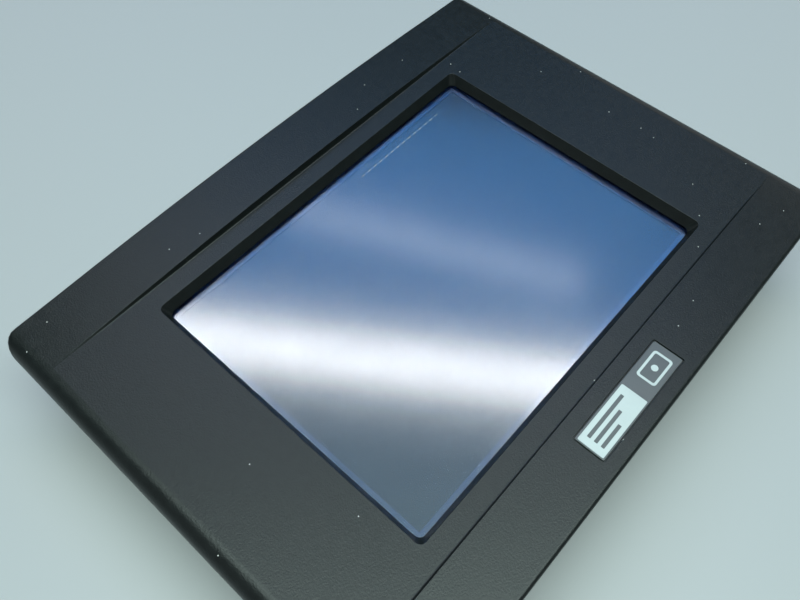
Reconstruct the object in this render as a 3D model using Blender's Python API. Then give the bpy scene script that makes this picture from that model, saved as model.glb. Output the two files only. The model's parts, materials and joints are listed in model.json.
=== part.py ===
"""Panel-mounted touch terminal, lying face up.

Frame: +Z points out of the screen, +X to the screen's right, +Y to its top. The origin is on the
back face, behind the middle of the screen. Heights named *_Z are measured from that back face.
"""

import math

import bmesh
import bpy
from mathutils import Matrix, Vector

MM = 0.001
GAP = 0.3 * MM  # between pieces that seat on each other
SLIP = 0.4 * MM  # each side of a piece that lies loose in a pocket
MERGE_DISTANCE = 1e-6
SHARP_ANGLE = math.radians(32)

# Display: the lit area sets the window, the glass and the module.
ACTIVE_WIDTH = 211.2 * MM
ACTIVE_HEIGHT = 158.4 * MM
VIEW_MARGIN = 2.9 * MM
MODULE_MARGIN_X = 15.9 * MM
MODULE_MARGIN_Y = 13.3 * MM
MODULE_DEPTH = 9.6 * MM
MODULE_SHEET = 0.5 * MM
CELL_MARGIN = 4.0 * MM
CELL_THICKNESS = 1.4 * MM
GUIDE_THICKNESS = 4.0 * MM
LAMP_RADIUS = 1.3 * MM
TRAY_THICKNESS = 1.2 * MM
MODULE_CORNER = 1.0 * MM
CELL_CORNER = 0.5 * MM

# Front moulding.
BEZEL_WIDTH = 347.6 * MM
BEZEL_HEIGHT = 256.8 * MM
BEZEL_THICKNESS = 11.0 * MM
BEZEL_WALL = 3.5 * MM
SIDE_ROUND = 9.5 * MM
CORNER_RADIUS = 8.0 * MM
EDGE_RADIUS = 2.0 * MM
STRIP_LINE_INSET = 32.0 * MM
STRIP_CROWN = 4.3 * MM
CROWN_END_INSET = 14.8 * MM
STEP_DRAFT = 0.5 * MM
STEP_FOOT = 1.0 * MM
WINDOW_DRAFT = 3.0 * MM
WINDOW_CORNER = 3.0 * MM
LIP_DEPTH = 5.6 * MM
GLASS_OVERLAP = 5.5 * MM
GLASS_THICKNESS = 2.2 * MM
GLASS_CORNER = 1.0 * MM
SEAL_THICKNESS = 0.9 * MM
BADGE_WIDTH = 66.6 * MM
BADGE_HEIGHT = 16.8 * MM
BADGE_DEPTH = 1.0 * MM
BADGE_THICKNESS = 0.8 * MM
BADGE_CORNER = 1.0 * MM
GASKET_INSET = 7.8 * MM
GASKET_WIDTH = 6.0 * MM
GASKET_GROOVE = 3.0 * MM
GASKET_PROUD = 0.7 * MM
POST_RADIUS = 2.4 * MM
POST_REACH = 4.0 * MM

# Housing behind the panel.
BODY_DEPTH = 47.0 * MM
FLANGE_OVERLAP_X = 17.8 * MM
FLANGE_OVERLAP_Y = 17.4 * MM
SHEET = 1.5 * MM
FRONT_LIP_X = 30.0 * MM
FRONT_LIP_Y = 15.0 * MM
REAR_LIP = 8.0 * MM
VENT_WIDTH = 3.0 * MM
VENT_LENGTH = 26.0 * MM
VENT_PITCH = 9.0 * MM
VENT_COUNT = 9
VENT_CUT = 4 * SHEET
HOUSING_CORNER = 2.5 * MM
HOLE_CORNER = 2.0 * MM
COVER_SCREW_RADIUS = 1.5 * MM
COVER_HEAD_RADIUS = 2.9 * MM
COVER_SCREW_LENGTH = 8.0 * MM
COVER_SCREW_INSET = 5.0 * MM
COVER_SLOT_WIDTH = 0.7 * MM
COVER_SLOT_DEPTH = 0.6 * MM
LABEL_WIDTH = 60.0 * MM
LABEL_LOW_Z = 12.0 * MM
LABEL_HIGH_Z = 36.0 * MM
LABEL_THICKNESS = 0.4 * MM

# Display plate and boards.
PLATE_SHEET = 1.2 * MM
PLATE_MARGIN = 3.0 * MM
STANDOFF_RADIUS = 3.0 * MM
STANDOFF_LENGTH = 12.0 * MM
STANDOFF_INSET = 6.0 * MM
STANDOFF_LOW = 26.0 * MM
PLATE_CORNER = 2.0 * MM
BOARD_THICKNESS = 1.6 * MM
BOARD_WALL_GAP = 2.0 * MM
BOARD_HEIGHT = 108.0 * MM
INVERTER_LENGTH = 120.0 * MM
INVERTER_WIDTH = 22.0 * MM
INVERTER_WALL_GAP = 12.0 * MM
INVERTER_STUD_LENGTH = 7.0 * MM
INVERTER_STUD_INSET = 5.0 * MM
COIL_LENGTH = 20.0 * MM
COIL_WIDTH = 16.0 * MM
COIL_HEIGHT = 9.0 * MM
CABLE_X = -40.0 * MM
CABLE_Y = -31.0 * MM
CABLE_SLOT_WIDTH = 36.0 * MM
CABLE_SLOT_DEPTH = 6.0 * MM
CABLE_WIDTH = 34.0 * MM
CABLE_THICKNESS = 0.6 * MM
CABLE_BOW = 9.0 * MM
CHIP_SIZE = 27.0 * MM
CHIP_HEIGHT = 2.0 * MM
CHIP_X = -96.0 * MM
CHIP_UP = 72.0 * MM
SINK_SIZE = 40.0 * MM
SINK_BASE = 2.5 * MM
FIN_HEIGHT = 9.0 * MM
FIN_THICKNESS = 1.2 * MM
FIN_COUNT = 7
MEMORY_X = 20.0 * MM
MEMORY_UP = 84.0 * MM
MEMORY_LENGTH = 70.0 * MM
MEMORY_SOCKET_WIDTH = 7.0 * MM
MEMORY_SOCKET_HEIGHT = 5.0 * MM
MEMORY_MODULE_REACH = 27.0 * MM
MEMORY_MODULE_GRIP = 3.5 * MM
MEMORY_MODULE_THICKNESS = 1.0 * MM
MEMORY_CHIP = (11.0 * MM, 17.0 * MM, 2.0 * MM)
MEMORY_CHIP_PITCH = 16.0 * MM
MEMORY_CHIP_BACK = 13.0 * MM
MEMORY_CHIP_COUNT = 4
BATTERY_X = -40.0 * MM
BATTERY_UP = 82.0 * MM
BATTERY_RADIUS = 10.0 * MM
BATTERY_THICKNESS = 3.2 * MM
HOLDER_HEIGHT = 5.0 * MM
HOLDER_WALL = 1.4 * MM
HOLDER_FLOOR = 1.2 * MM

# Ports on the bottom wall: middle along X, width along X, height along Z.
PORT_MARGIN = 0.5 * MM
PORT_PROUD = 1.0 * MM
PORT_DEPTH = 14.0 * MM
PORT_CORNER = 0.4 * MM
MOUTH_DEPTH = 11.0 * MM
SMALL_PORT_DROP = 6.0 * MM
POWER_X = -118.0 * MM
POWER_WIDTH = 18.0 * MM
POWER_HEIGHT = 11.0 * MM
POWER_WALL = 1.3 * MM
POWER_MOUTH_DEPTH = 10.0 * MM
PLUG_NOSE = 9.0 * MM
PLUG_GRIP_FAR = 13.0 * MM
PLUG_GRIP_NEAR = 2.0 * MM
PLUG_CHIN = 2.5 * MM
PLUG_CORNER = 0.5 * MM
TERMINAL_PITCH = 5.08 * MM
TERMINAL_OUT = 8.0 * MM
TERMINAL_WELL_RADIUS = 2.1 * MM
TERMINAL_WELL_DEPTH = 4.0 * MM
TERMINAL_SCREW_RADIUS = 1.7 * MM
TERMINAL_SCREW_SUNK = 0.8 * MM
TERMINAL_SCREW_LENGTH = 2.8 * MM
WIRE_HALF = 1.7 * MM
WIRE_FLOOR = 5.2 * MM
WIRE_CEILING = 1.2 * MM
WIRE_END = 4.0 * MM
STUD_X = -92.0 * MM
STUD_RADIUS = 2.0 * MM
STUD_LENGTH = 9.0 * MM
STUD_TAIL = 2.0 * MM
COLLAR_RADIUS = 3.6 * MM
COLLAR_FAR = 1.6 * MM
NUT_RADIUS = 4.0 * MM
NUT_FAR = 4.2 * MM
NUT_NEAR = 1.0 * MM
SERIAL_X = (-60.0 * MM, -18.0 * MM)
SERIAL_WIDTH = 31.0 * MM
SERIAL_HEIGHT = 12.4 * MM
SERIAL_CORNER = 1.5 * MM
SERIAL_DEPTH = 12.0 * MM
SERIAL_REACH = 6.0 * MM
SERIAL_SHELL_X = 8.7 * MM
SERIAL_SHELL_Z = 4.3 * MM
SERIAL_SHELL_CORNER = 2.0 * MM
SERIAL_SHELL_WALL = 0.6 * MM
SERIAL_FLOOR = 0.2 * MM
JACK_X = 12.5 * MM
JACK_RADIUS = 2.6 * MM
NETWORK_X = 20.0 * MM
NETWORK_WIDTH = 16.0 * MM
NETWORK_HEIGHT = 13.4 * MM
NETWORK_MOUTH_X = 5.9 * MM
NETWORK_MOUTH_LOW = 3.4 * MM
NETWORK_MOUTH_HIGH = 3.6 * MM
NETWORK_NOTCH_X = 3.0 * MM
NETWORK_NOTCH_LOW = 5.2 * MM
USB_X = 44.0 * MM
USB_WIDTH = 14.4 * MM
USB_HEIGHT = 15.4 * MM
USB_DROPS = (4.0 * MM, 11.4 * MM)
USB_MOUTH_X = 6.5 * MM
USB_MOUTH_Z = 2.6 * MM
TONGUE_X = 5.6 * MM
TONGUE_LOW = 0.2 * MM
TONGUE_HIGH = 2.0 * MM
TONGUE_START = 1.0 * MM
RESET_X = 66.0 * MM
RESET_RADIUS = 2.0 * MM
RESET_TRAVEL = 1.2 * MM
RESET_PROUD = 0.6 * MM
RESET_LENGTH = 5.0 * MM
RESET_FLANGE_RADIUS = 3.0 * MM
RESET_FLANGE_NEAR = 2.2 * MM
RESET_FLANGE_FAR = 4.0 * MM
SWITCH_X = 84.0 * MM
SWITCH_TRAVEL = 2.0 * MM
LEVER = (3.0 * MM, 5.0 * MM, 2.4 * MM)
LEVER_IN = 1.0 * MM
LEVER_FOOT = (9.0 * MM, 2.0 * MM, 4.0 * MM)
LEVER_FOOT_IN = 1.8 * MM

# Card slot in the right-hand wall.
CARD_WIDTH = 42.8 * MM
CARD_LENGTH = 36.4 * MM
CARD_THICKNESS = 3.3 * MM
CARD_Y = -52.0 * MM
CARD_INSET = 8.0 * MM
CARD_CORNER = 1.0 * MM
CARD_DROP = 3.6 * MM
CARD_END_GAP = 1.0 * MM
CARD_SOCKET_BACK = 6.0 * MM
CARD_SOCKET_SHORT = 9.0 * MM
CARD_SOCKET_FLOOR = 3.4 * MM
CARD_SOCKET_WALL = 2.0 * MM
BAR_WIDTH = 4.0 * MM
BAR_HALF_HEIGHT = 1.5 * MM
BAR_SLOT_LENGTH = 26.0 * MM
BAR_LENGTH_INSIDE = 18.0 * MM
BAR_PROUD = 2.0 * MM
BAR_CORNER = 0.6 * MM
DOOR_HEIGHT = 20.0 * MM
DOOR_THICKNESS = 1.6 * MM
DOOR_OVERLAP = 10.0 * MM
DOOR_CORNER = 1.5 * MM
DOOR_WEB = 0.6 * MM
OPENING_INSET = 4.0 * MM
OPENING_HALF_HEIGHT = 5.0 * MM
TAB_HALF_WIDTH = 6.0 * MM
TAB_PROUD = 2.0 * MM
TAB_LOW = 3.0 * MM
TAB_HIGH = 1.0 * MM
EAR_SHARE = 0.7
HINGE_RADIUS = 1.7 * MM
HINGE_PIN_RADIUS = 0.8 * MM
HINGE_KNUCKLE = 8.0 * MM

# Panel clamps on the top and bottom walls.
CLAMP_END_INSET = 18.0 * MM
CLAMP_WIDTH = 16.0 * MM
CLAMP_BLOCK = 14.0 * MM
CLAMP_OFFSET = 8.6 * MM
CLAMP_BACK_Z = 18.0 * MM
CLAMP_CORNER = 2.5 * MM
CLAMP_WALL = 3.5 * MM
CLAMP_SCREW_RADIUS = 2.0 * MM
CLAMP_HEAD_RADIUS = 3.5 * MM
CLAMP_HEAD_HEIGHT = 4.0 * MM
CLAMP_HEAD_DROP = 10.0 * MM
CLAMP_DRIVE_WIDTH = 1.0 * MM
CLAMP_DRIVE_DEPTH = 1.2 * MM
CLAMP_PAD_RADIUS = 4.6 * MM
CLAMP_PAD_HEIGHT = 5.0 * MM
CLAMP_PAD_POCKET = 3.0 * MM
PANEL_LARGEST = 6.0 * MM

# Heights that follow from the sizes above.
SEAT_Z = BODY_DEPTH
FACE_Z = SEAT_Z + BEZEL_THICKNESS
LIP_Z = FACE_Z - LIP_DEPTH
GLASS_TOP_Z = LIP_Z - GAP - SEAL_THICKNESS - GAP
GLASS_BACK_Z = GLASS_TOP_Z - GLASS_THICKNESS
MODULE_TOP_Z = GLASS_BACK_Z - 2 * GAP
MODULE_BACK_Z = MODULE_TOP_Z - MODULE_DEPTH
PLATE_TOP_Z = MODULE_BACK_Z - GAP
PLATE_BACK_Z = PLATE_TOP_Z - PLATE_SHEET
BOARD_TOP_Z = PLATE_BACK_Z - STANDOFF_LENGTH - GAP
BOARD_BACK_Z = BOARD_TOP_Z - BOARD_THICKNESS
PORT_TOP_Z = BOARD_BACK_Z - GAP
SMALL_PORT_Z = PORT_TOP_Z - SMALL_PORT_DROP
CARD_Z = PORT_TOP_Z - CARD_DROP

# Widths that follow from the sizes above.
STRIP_LINE = BEZEL_HEIGHT / 2 - STRIP_LINE_INSET
BADGE_Y = -(STRIP_LINE + STRIP_LINE_INSET / 2)
LIP_X = ACTIVE_WIDTH / 2 + VIEW_MARGIN
LIP_Y = ACTIVE_HEIGHT / 2 + VIEW_MARGIN
GLASS_X = LIP_X + GLASS_OVERLAP
GLASS_Y = LIP_Y + GLASS_OVERLAP
MODULE_X = ACTIVE_WIDTH / 2 + MODULE_MARGIN_X
MODULE_Y = ACTIVE_HEIGHT / 2 + MODULE_MARGIN_Y
WALL_X = BEZEL_WIDTH / 2 - FLANGE_OVERLAP_X
WALL_Y = BEZEL_HEIGHT / 2 - FLANGE_OVERLAP_Y
FRONT_HOLE_X = max(WALL_X - FRONT_LIP_X, MODULE_X + 4 * SLIP)
FRONT_HOLE_Y = max(WALL_Y - FRONT_LIP_Y, MODULE_Y + 4 * SLIP)
BOARD_BOTTOM = -(WALL_Y - SHEET - BOARD_WALL_GAP)
BOARD_LEFT = POWER_X - POWER_WIDTH
BOARD_RIGHT = WALL_X - SHEET - BOARD_WALL_GAP
WALL_FACE = -WALL_Y  # outside of the bottom wall

MODEL = bpy.data.collections.new("touch_terminal")
CUTTERS = bpy.data.collections.new("cutters")


def clear_scene():
    """Empties the scene and links the two collections."""
    for obj in list(bpy.data.objects):
        bpy.data.objects.remove(obj, do_unlink=True)
    bpy.context.scene.collection.children.link(MODEL)
    bpy.context.scene.collection.children.link(CUTTERS)
    CUTTERS.hide_render = True


def finish(name, colour, roughness, metallic=0.0):
    """A Principled material."""
    material = bpy.data.materials.new(name)
    material.use_nodes = True
    shader = material.node_tree.nodes["Principled BSDF"]
    shader.inputs["Base Color"].default_value = (*colour, 1.0)
    shader.inputs["Roughness"].default_value = roughness
    shader.inputs["Metallic"].default_value = metallic
    return material


BLACK_MOULDING = finish("black_moulding", (0.022, 0.024, 0.027), 0.55)
BLACK_RUBBER = finish("black_rubber", (0.015, 0.015, 0.015), 0.85)
SCREEN_GLASS = finish("screen_glass", (0.02, 0.03, 0.05), 0.05)
CELL_DARK = finish("cell_dark", (0.015, 0.018, 0.025), 0.2)
CLEAR_PLASTIC = finish("clear_plastic", (0.8, 0.82, 0.82), 0.15)
LAMP_WHITE = finish("lamp_white", (0.9, 0.9, 0.85), 0.3)
ZINC_STEEL = finish("zinc_steel", (0.55, 0.56, 0.57), 0.35, 1.0)
BRIGHT_STEEL = finish("bright_steel", (0.62, 0.62, 0.62), 0.25, 1.0)
BLACK_PAINT = finish("black_paint", (0.03, 0.03, 0.032), 0.5)
BADGE_PRINT = finish("badge_print", (0.10, 0.11, 0.115), 0.4)
LABEL_FILM = finish("label_film", (0.6, 0.61, 0.62), 0.4)
GREEN_BOARD = finish("green_board", (0.02, 0.16, 0.06), 0.4)
BLACK_CHIP = finish("black_chip", (0.02, 0.02, 0.022), 0.5)
ALUMINIUM = finish("aluminium", (0.7, 0.71, 0.72), 0.3, 1.0)
GREEN_TERMINAL = finish("green_terminal", (0.03, 0.28, 0.10), 0.45)
IVORY_PLASTIC = finish("ivory_plastic", (0.75, 0.72, 0.62), 0.5)
ORANGE_FILM = finish("orange_film", (0.65, 0.28, 0.05), 0.4)
BRASS = finish("brass", (0.75, 0.55, 0.25), 0.3, 1.0)
RED_PLASTIC = finish("red_plastic", (0.55, 0.04, 0.03), 0.45)


def shape_of(bm, origin=(0.0, 0.0, 0.0)):
    """An object from world-space mesh data, with its origin at the point given."""
    bmesh.ops.recalc_face_normals(bm, faces=bm.faces)
    bmesh.ops.translate(bm, verts=bm.verts, vec=-Vector(origin))
    mesh = bpy.data.meshes.new("shape")
    bm.to_mesh(mesh)
    bm.free()
    obj = bpy.data.objects.new("shape", mesh)
    obj.location = origin
    return obj


def round_along(bm, axis, radius, segments):
    """Rounds the edges that run along one axis."""
    nearly_parallel = 0.99
    edges = []
    for edge in bm.edges:
        run = (edge.verts[0].co - edge.verts[1].co).normalized()
        if abs(run[axis]) > nearly_parallel:
            edges.append(edge)
    bmesh.ops.bevel(
        bm, geom=edges, offset=radius, segments=segments, profile=0.5, affect="EDGES"
    )


def block(low, high, radius=0.0, axis=2, segments=3, origin=None):
    """A box between two corners, with the edges along one axis rounded."""
    low = Vector(low)
    high = Vector(high)
    bm = bmesh.new()
    bmesh.ops.create_cube(bm, size=1.0)
    bmesh.ops.transform(bm, matrix=Matrix.Diagonal((*(high - low), 1.0)), verts=bm.verts)
    bmesh.ops.translate(bm, verts=bm.verts, vec=(low + high) / 2)
    if radius:
        round_along(bm, axis, radius, segments)
    return shape_of(bm, (low + high) / 2 if origin is None else origin)


def mid_block(middle, size, radius=0.0, axis=2, segments=3):
    """A box about its middle point."""
    half = Vector(size) / 2
    return block(Vector(middle) - half, Vector(middle) + half, radius, axis, segments)


def rod(start, end, radius, end_radius=None, segments=16):
    """A round bar, or a cone, between two points on a line along X, Y or Z."""
    start = Vector(start)
    end = Vector(end)
    run = end - start
    bm = bmesh.new()
    bmesh.ops.create_cone(
        bm,
        cap_ends=True,
        segments=segments,
        radius1=radius,
        radius2=radius if end_radius is None else end_radius,
        depth=run.length,
    )
    turn = Vector((0, 0, 1)).rotation_difference(run).to_matrix().to_4x4()
    place = Matrix.Translation((start + end) / 2) @ turn
    bmesh.ops.transform(bm, matrix=place, verts=bm.verts)
    return shape_of(bm, start)


def slab(outline, thickness, origin, turn=None):
    """A flat outline, in its own X and Y, made solid about its plane."""
    curve = bpy.data.curves.new("outline", "CURVE")
    curve.dimensions = "2D"
    curve.fill_mode = "BOTH"
    curve.extrude = thickness / 2
    spline = curve.splines.new("POLY")
    spline.points.add(len(outline) - 1)
    for point, (x, y) in zip(spline.points, outline):
        point.co = (x, y, 0.0, 1.0)
    spline.use_cyclic_u = True
    drawn = bpy.data.objects.new("outline", curve)
    MODEL.objects.link(drawn)
    bpy.context.view_layer.update()
    graph = bpy.context.evaluated_depsgraph_get()
    mesh = bpy.data.meshes.new_from_object(drawn.evaluated_get(graph))
    bpy.data.objects.remove(drawn)
    bm = bmesh.new()
    bm.from_mesh(mesh)
    bmesh.ops.remove_doubles(bm, verts=bm.verts, dist=MERGE_DISTANCE)
    if turn is not None:
        bmesh.ops.transform(bm, matrix=turn, verts=bm.verts)
    bmesh.ops.translate(bm, verts=bm.verts, vec=origin)
    return shape_of(bm, origin)


def add_node(obj, name, material):
    """Puts a finished shape into the model under its name."""
    obj.name = name
    obj.data.name = name
    obj.data.materials.clear()
    obj.data.materials.append(material)
    obj.data.shade_smooth()
    obj.data.set_sharp_from_angle(angle=SHARP_ANGLE)
    MODEL.objects.link(obj)
    return obj


def combine(target, pieces, operation):
    """Joins pieces to a shape, or cuts them from it, by one Boolean with the exact solver."""
    group = bpy.data.collections.new(operation.lower() + "_set")
    CUTTERS.children.link(group)
    for piece in pieces:
        piece.name = "cutter"
        piece.hide_render = True
        piece.display_type = "WIRE"
        group.objects.link(piece)
    modifier = target.modifiers.new(operation.lower(), "BOOLEAN")
    modifier.operation = operation
    modifier.operand_type = "COLLECTION"
    modifier.collection = group
    modifier.solver = "EXACT"
    return target


def unite(target, pieces):
    return combine(target, pieces, "UNION")


def carve(target, pieces):
    return combine(target, pieces, "DIFFERENCE")


def ring(low, high, inner_low, inner_high, radius=0.0, inner_radius=0.0):
    """A flat frame: a box with a box-shaped hole along Z."""
    outer = block(low, high, radius)
    hole = block(
        (inner_low[0], inner_low[1], low[2] - MM),
        (inner_high[0], inner_high[1], high[2] + MM),
        inner_radius,
    )
    return carve(outer, [hole])


def both_sides(value):
    return (-value, value)


def ordered(a, b):
    """The lower and the higher of two places along one axis."""
    return min(a, b), max(a, b)


# ---------------------------------------------------------------- front moulding


def bezel_stations():
    """Places along X: close together round the two ends, even between them."""
    half = BEZEL_WIDTH / 2
    start = half - SIDE_ROUND
    turn_steps = 6
    span_steps = 14
    right = []
    for step in range(turn_steps + 1):
        right.append(start + SIDE_ROUND * math.sin(math.pi / 2 * step / turn_steps))
    middle = []
    for step in range(1, span_steps):
        middle.append(-start + 2 * start * step / span_steps)
    return [-x for x in reversed(right)] + middle + right


def crown_height(x):
    """How far a strip stands above the flat face: most in the middle, nothing near the ends."""
    crown_span = BEZEL_WIDTH / 2 - CROWN_END_INSET
    return STRIP_CROWN * max(0.0, 1.0 - (x / crown_span) ** 2)


def bezel_section(x):
    """Half of the outline across the moulding at one station, as (distance from middle, height)."""
    over = max(0.0, abs(x) - (BEZEL_WIDTH / 2 - SIDE_ROUND))
    face = BEZEL_THICKNESS - SIDE_ROUND + math.sqrt(max(0.0, SIDE_ROUND**2 - over**2))
    turn = max(0.0, abs(x) - (BEZEL_WIDTH / 2 - CORNER_RADIUS))
    half = BEZEL_HEIGHT / 2 - CORNER_RADIUS + math.sqrt(max(0.0, CORNER_RADIUS**2 - turn**2))
    crown = crown_height(x)
    top = face + crown
    foot = min(STEP_FOOT, crown / 2)
    foot_share = 0.3
    edge = min(EDGE_RADIUS, top / 2)
    points = [
        (STRIP_LINE - STEP_DRAFT - STEP_FOOT, face),
        (STRIP_LINE - STEP_DRAFT - foot_share * STEP_FOOT, face + foot_share * foot),
        (STRIP_LINE - STEP_DRAFT, face + foot),
        (STRIP_LINE, top),
    ]
    edge_steps = 4
    for step in range(edge_steps + 1):
        angle = math.pi / 2 * step / edge_steps
        points.append((half - edge + edge * math.sin(angle), top - edge + edge * math.cos(angle)))
    points.append((half, 0.0))
    return points


def bezel_body():
    """The outer form, lofted through the stations."""
    bm = bmesh.new()
    loops = []
    for x in bezel_stations():
        half = bezel_section(x)
        outline = [(y, z) for y, z in reversed(half)] + [(-y, z) for y, z in half]
        loops.append([bm.verts.new((x, y, SEAT_Z + z)) for y, z in outline])
    for near, far in zip(loops, loops[1:]):
        for index in range(len(near)):
            after = (index + 1) % len(near)
            bm.faces.new((near[index], near[after], far[after], far[index]))
    bm.faces.new(loops[0])
    bm.faces.new(loops[-1])
    return shape_of(bm, (0, 0, SEAT_Z))


def window_cutter():
    """The viewing hole: walls lean in from the lip at the face down to the glass."""
    bm = bmesh.new()
    bmesh.ops.create_cube(bm, size=2.0)
    above = 8 * MM
    below = MM
    lean = WINDOW_DRAFT / LIP_DEPTH
    for vert in bm.verts:
        upper = vert.co.z > 0
        inset = WINDOW_DRAFT + above * lean if upper else -below * lean
        x = LIP_X + inset
        y = LIP_Y + inset
        z = FACE_Z + above if upper else LIP_Z - below
        vert.co = Vector((math.copysign(x, vert.co.x), math.copysign(y, vert.co.y), z))
    slanted = [e for e in bm.edges if abs(e.verts[0].co.z - e.verts[1].co.z) > MM]
    bmesh.ops.bevel(
        bm, geom=slanted, offset=WINDOW_CORNER, segments=5, profile=0.5, affect="EDGES"
    )
    return shape_of(bm)


def badge_floor():
    return FACE_Z + crown_height(BADGE_WIDTH / 2) - BADGE_DEPTH


def post_places():
    """Middles of the moulded posts that pass through the front lip of the chassis."""
    x = (FRONT_HOLE_X + WALL_X - SHEET) / 2
    y = WALL_Y / 2
    return [(side * x, level * y) for side in (-1, 1) for level in (-1, 1)]


def core_pockets():
    """Hollows in the back of the moulding, round the window frame and clear of the posts."""
    top = SEAT_Z + BEZEL_THICKNESS - BEZEL_WALL
    post_y = post_places()[-1][1] - 2 * POST_RADIUS - BEZEL_WALL
    inner_x = MODULE_X + 2 * SLIP + BEZEL_WALL
    outer_x = WALL_X - SHEET - BEZEL_WALL
    inner_y = MODULE_Y + 2 * SLIP + BEZEL_WALL
    outer_y = WALL_Y - SHEET - BEZEL_WALL / 2
    pockets = []
    for side in (-1, 1):
        low, high = ordered(side * inner_x, side * outer_x)
        pockets.append(block((low, -post_y, SEAT_Z - MM), (high, post_y, top)))
        low, high = ordered(side * inner_y, side * outer_y)
        pockets.append(block((-MODULE_X, low, SEAT_Z - MM), (MODULE_X, high, top)))
    return pockets


def front_bezel():
    glass_pocket = block(
        (-GLASS_X - SLIP, -GLASS_Y - SLIP, SEAT_Z - MM),
        (GLASS_X + SLIP, GLASS_Y + SLIP, LIP_Z),
    )
    module_pocket = block(
        (-MODULE_X - 2 * SLIP, -MODULE_Y - 2 * SLIP, SEAT_Z - 2 * MM),
        (MODULE_X + 2 * SLIP, MODULE_Y + 2 * SLIP, MODULE_TOP_Z + GAP),
    )
    badge_pocket = block(
        (-BADGE_WIDTH / 2, BADGE_Y - BADGE_HEIGHT / 2, badge_floor()),
        (BADGE_WIDTH / 2, BADGE_Y + BADGE_HEIGHT / 2, FACE_Z + 2 * STRIP_CROWN),
        BADGE_CORNER,
    )
    groove_out_x = BEZEL_WIDTH / 2 - GASKET_INSET
    groove_out_y = BEZEL_HEIGHT / 2 - GASKET_INSET
    groove_in_x = groove_out_x - GASKET_WIDTH
    groove_in_y = groove_out_y - GASKET_WIDTH
    groove_top = SEAT_Z + GASKET_GROOVE
    groove = []
    for side in (-1, 1):
        low, high = ordered(side * groove_in_x, side * groove_out_x)
        groove.append(block((low, -groove_out_y, SEAT_Z - MM), (high, groove_out_y, groove_top)))
        low, high = ordered(side * groove_in_y, side * groove_out_y)
        groove.append(block((-groove_out_x, low, SEAT_Z - MM), (groove_out_x, high, groove_top)))
    cuts = [window_cutter(), glass_pocket, module_pocket, badge_pocket] + groove + core_pockets()
    bezel = carve(bezel_body(), cuts)
    posts = []
    for x, y in post_places():
        tip = SEAT_Z - POST_REACH
        posts.append(rod((x, y, tip), (x, y, SEAT_Z + MM), POST_RADIUS, segments=12))
    return add_node(unite(bezel, posts), "front_bezel", BLACK_MOULDING)


def nameplate():
    low = badge_floor() + GAP / 2
    plate = block(
        (-BADGE_WIDTH / 2 + GAP, BADGE_Y - BADGE_HEIGHT / 2 + GAP, low),
        (BADGE_WIDTH / 2 - GAP, BADGE_Y + BADGE_HEIGHT / 2 - GAP, low + BADGE_THICKNESS),
        BADGE_CORNER - GAP,
    )
    return add_node(plate, "nameplate", BADGE_PRINT)


def panel_gasket():
    out_x = BEZEL_WIDTH / 2 - GASKET_INSET - GAP
    out_y = BEZEL_HEIGHT / 2 - GASKET_INSET - GAP
    in_x = out_x - GASKET_WIDTH + 2 * GAP
    in_y = out_y - GASKET_WIDTH + 2 * GAP
    low = SEAT_Z - GASKET_PROUD
    high = SEAT_Z + GASKET_GROOVE - GAP
    gasket = ring((-out_x, -out_y, low), (out_x, out_y, high), (-in_x, -in_y), (in_x, in_y))
    return add_node(gasket, "panel_gasket", BLACK_RUBBER)


def touch_glass():
    low = (-GLASS_X, -GLASS_Y, GLASS_BACK_Z)
    high = (GLASS_X, GLASS_Y, GLASS_TOP_Z)
    return add_node(block(low, high, GLASS_CORNER, segments=1), "touch_glass", SCREEN_GLASS)


def touch_seal():
    inner_x = LIP_X + WINDOW_DRAFT / 3
    inner_y = LIP_Y + WINDOW_DRAFT / 3
    low = GLASS_TOP_Z + GAP
    high = LIP_Z - GAP
    seal = ring(
        (-GLASS_X, -GLASS_Y, low), (GLASS_X, GLASS_Y, high), (-inner_x, -inner_y), (inner_x, inner_y)
    )
    return add_node(seal, "touch_seal", BLACK_RUBBER)


# ---------------------------------------------------------------- display


def lcd_frame():
    """Pressed sheet frame: a front face with the viewing hole, and a skirt round the module."""
    shell = block(
        (-MODULE_X, -MODULE_Y, MODULE_BACK_Z + TRAY_THICKNESS + GAP),
        (MODULE_X, MODULE_Y, MODULE_TOP_Z),
        MODULE_CORNER,
        segments=2,
    )
    hollow = block(
        (-MODULE_X + MODULE_SHEET, -MODULE_Y + MODULE_SHEET, MODULE_BACK_Z),
        (MODULE_X - MODULE_SHEET, MODULE_Y - MODULE_SHEET, MODULE_TOP_Z - MODULE_SHEET),
    )
    hole_x = ACTIVE_WIDTH / 2 + CELL_MARGIN / 4
    hole_y = ACTIVE_HEIGHT / 2 + CELL_MARGIN / 4
    hole = block((-hole_x, -hole_y, MODULE_BACK_Z), (hole_x, hole_y, MODULE_TOP_Z + MM))
    return add_node(carve(shell, [hollow, hole]), "lcd_frame", ZINC_STEEL)


def cell_back():
    return MODULE_TOP_Z - MODULE_SHEET - GAP - CELL_THICKNESS


def guide_back():
    return cell_back() - GAP - GUIDE_THICKNESS


def lcd_cell():
    x = ACTIVE_WIDTH / 2 + CELL_MARGIN
    y = ACTIVE_HEIGHT / 2 + CELL_MARGIN
    high = cell_back() + CELL_THICKNESS
    cell = block((-x, -y, cell_back()), (x, y, high), CELL_CORNER, segments=1)
    return add_node(cell, "lcd_cell", CELL_DARK)


def light_guide():
    x = ACTIVE_WIDTH / 2 + CELL_MARGIN
    y = ACTIVE_HEIGHT / 2 + CELL_MARGIN
    guide = block((-x, -y, guide_back()), (x, y, guide_back() + GUIDE_THICKNESS))
    return add_node(guide, "light_guide", CLEAR_PLASTIC)


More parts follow.
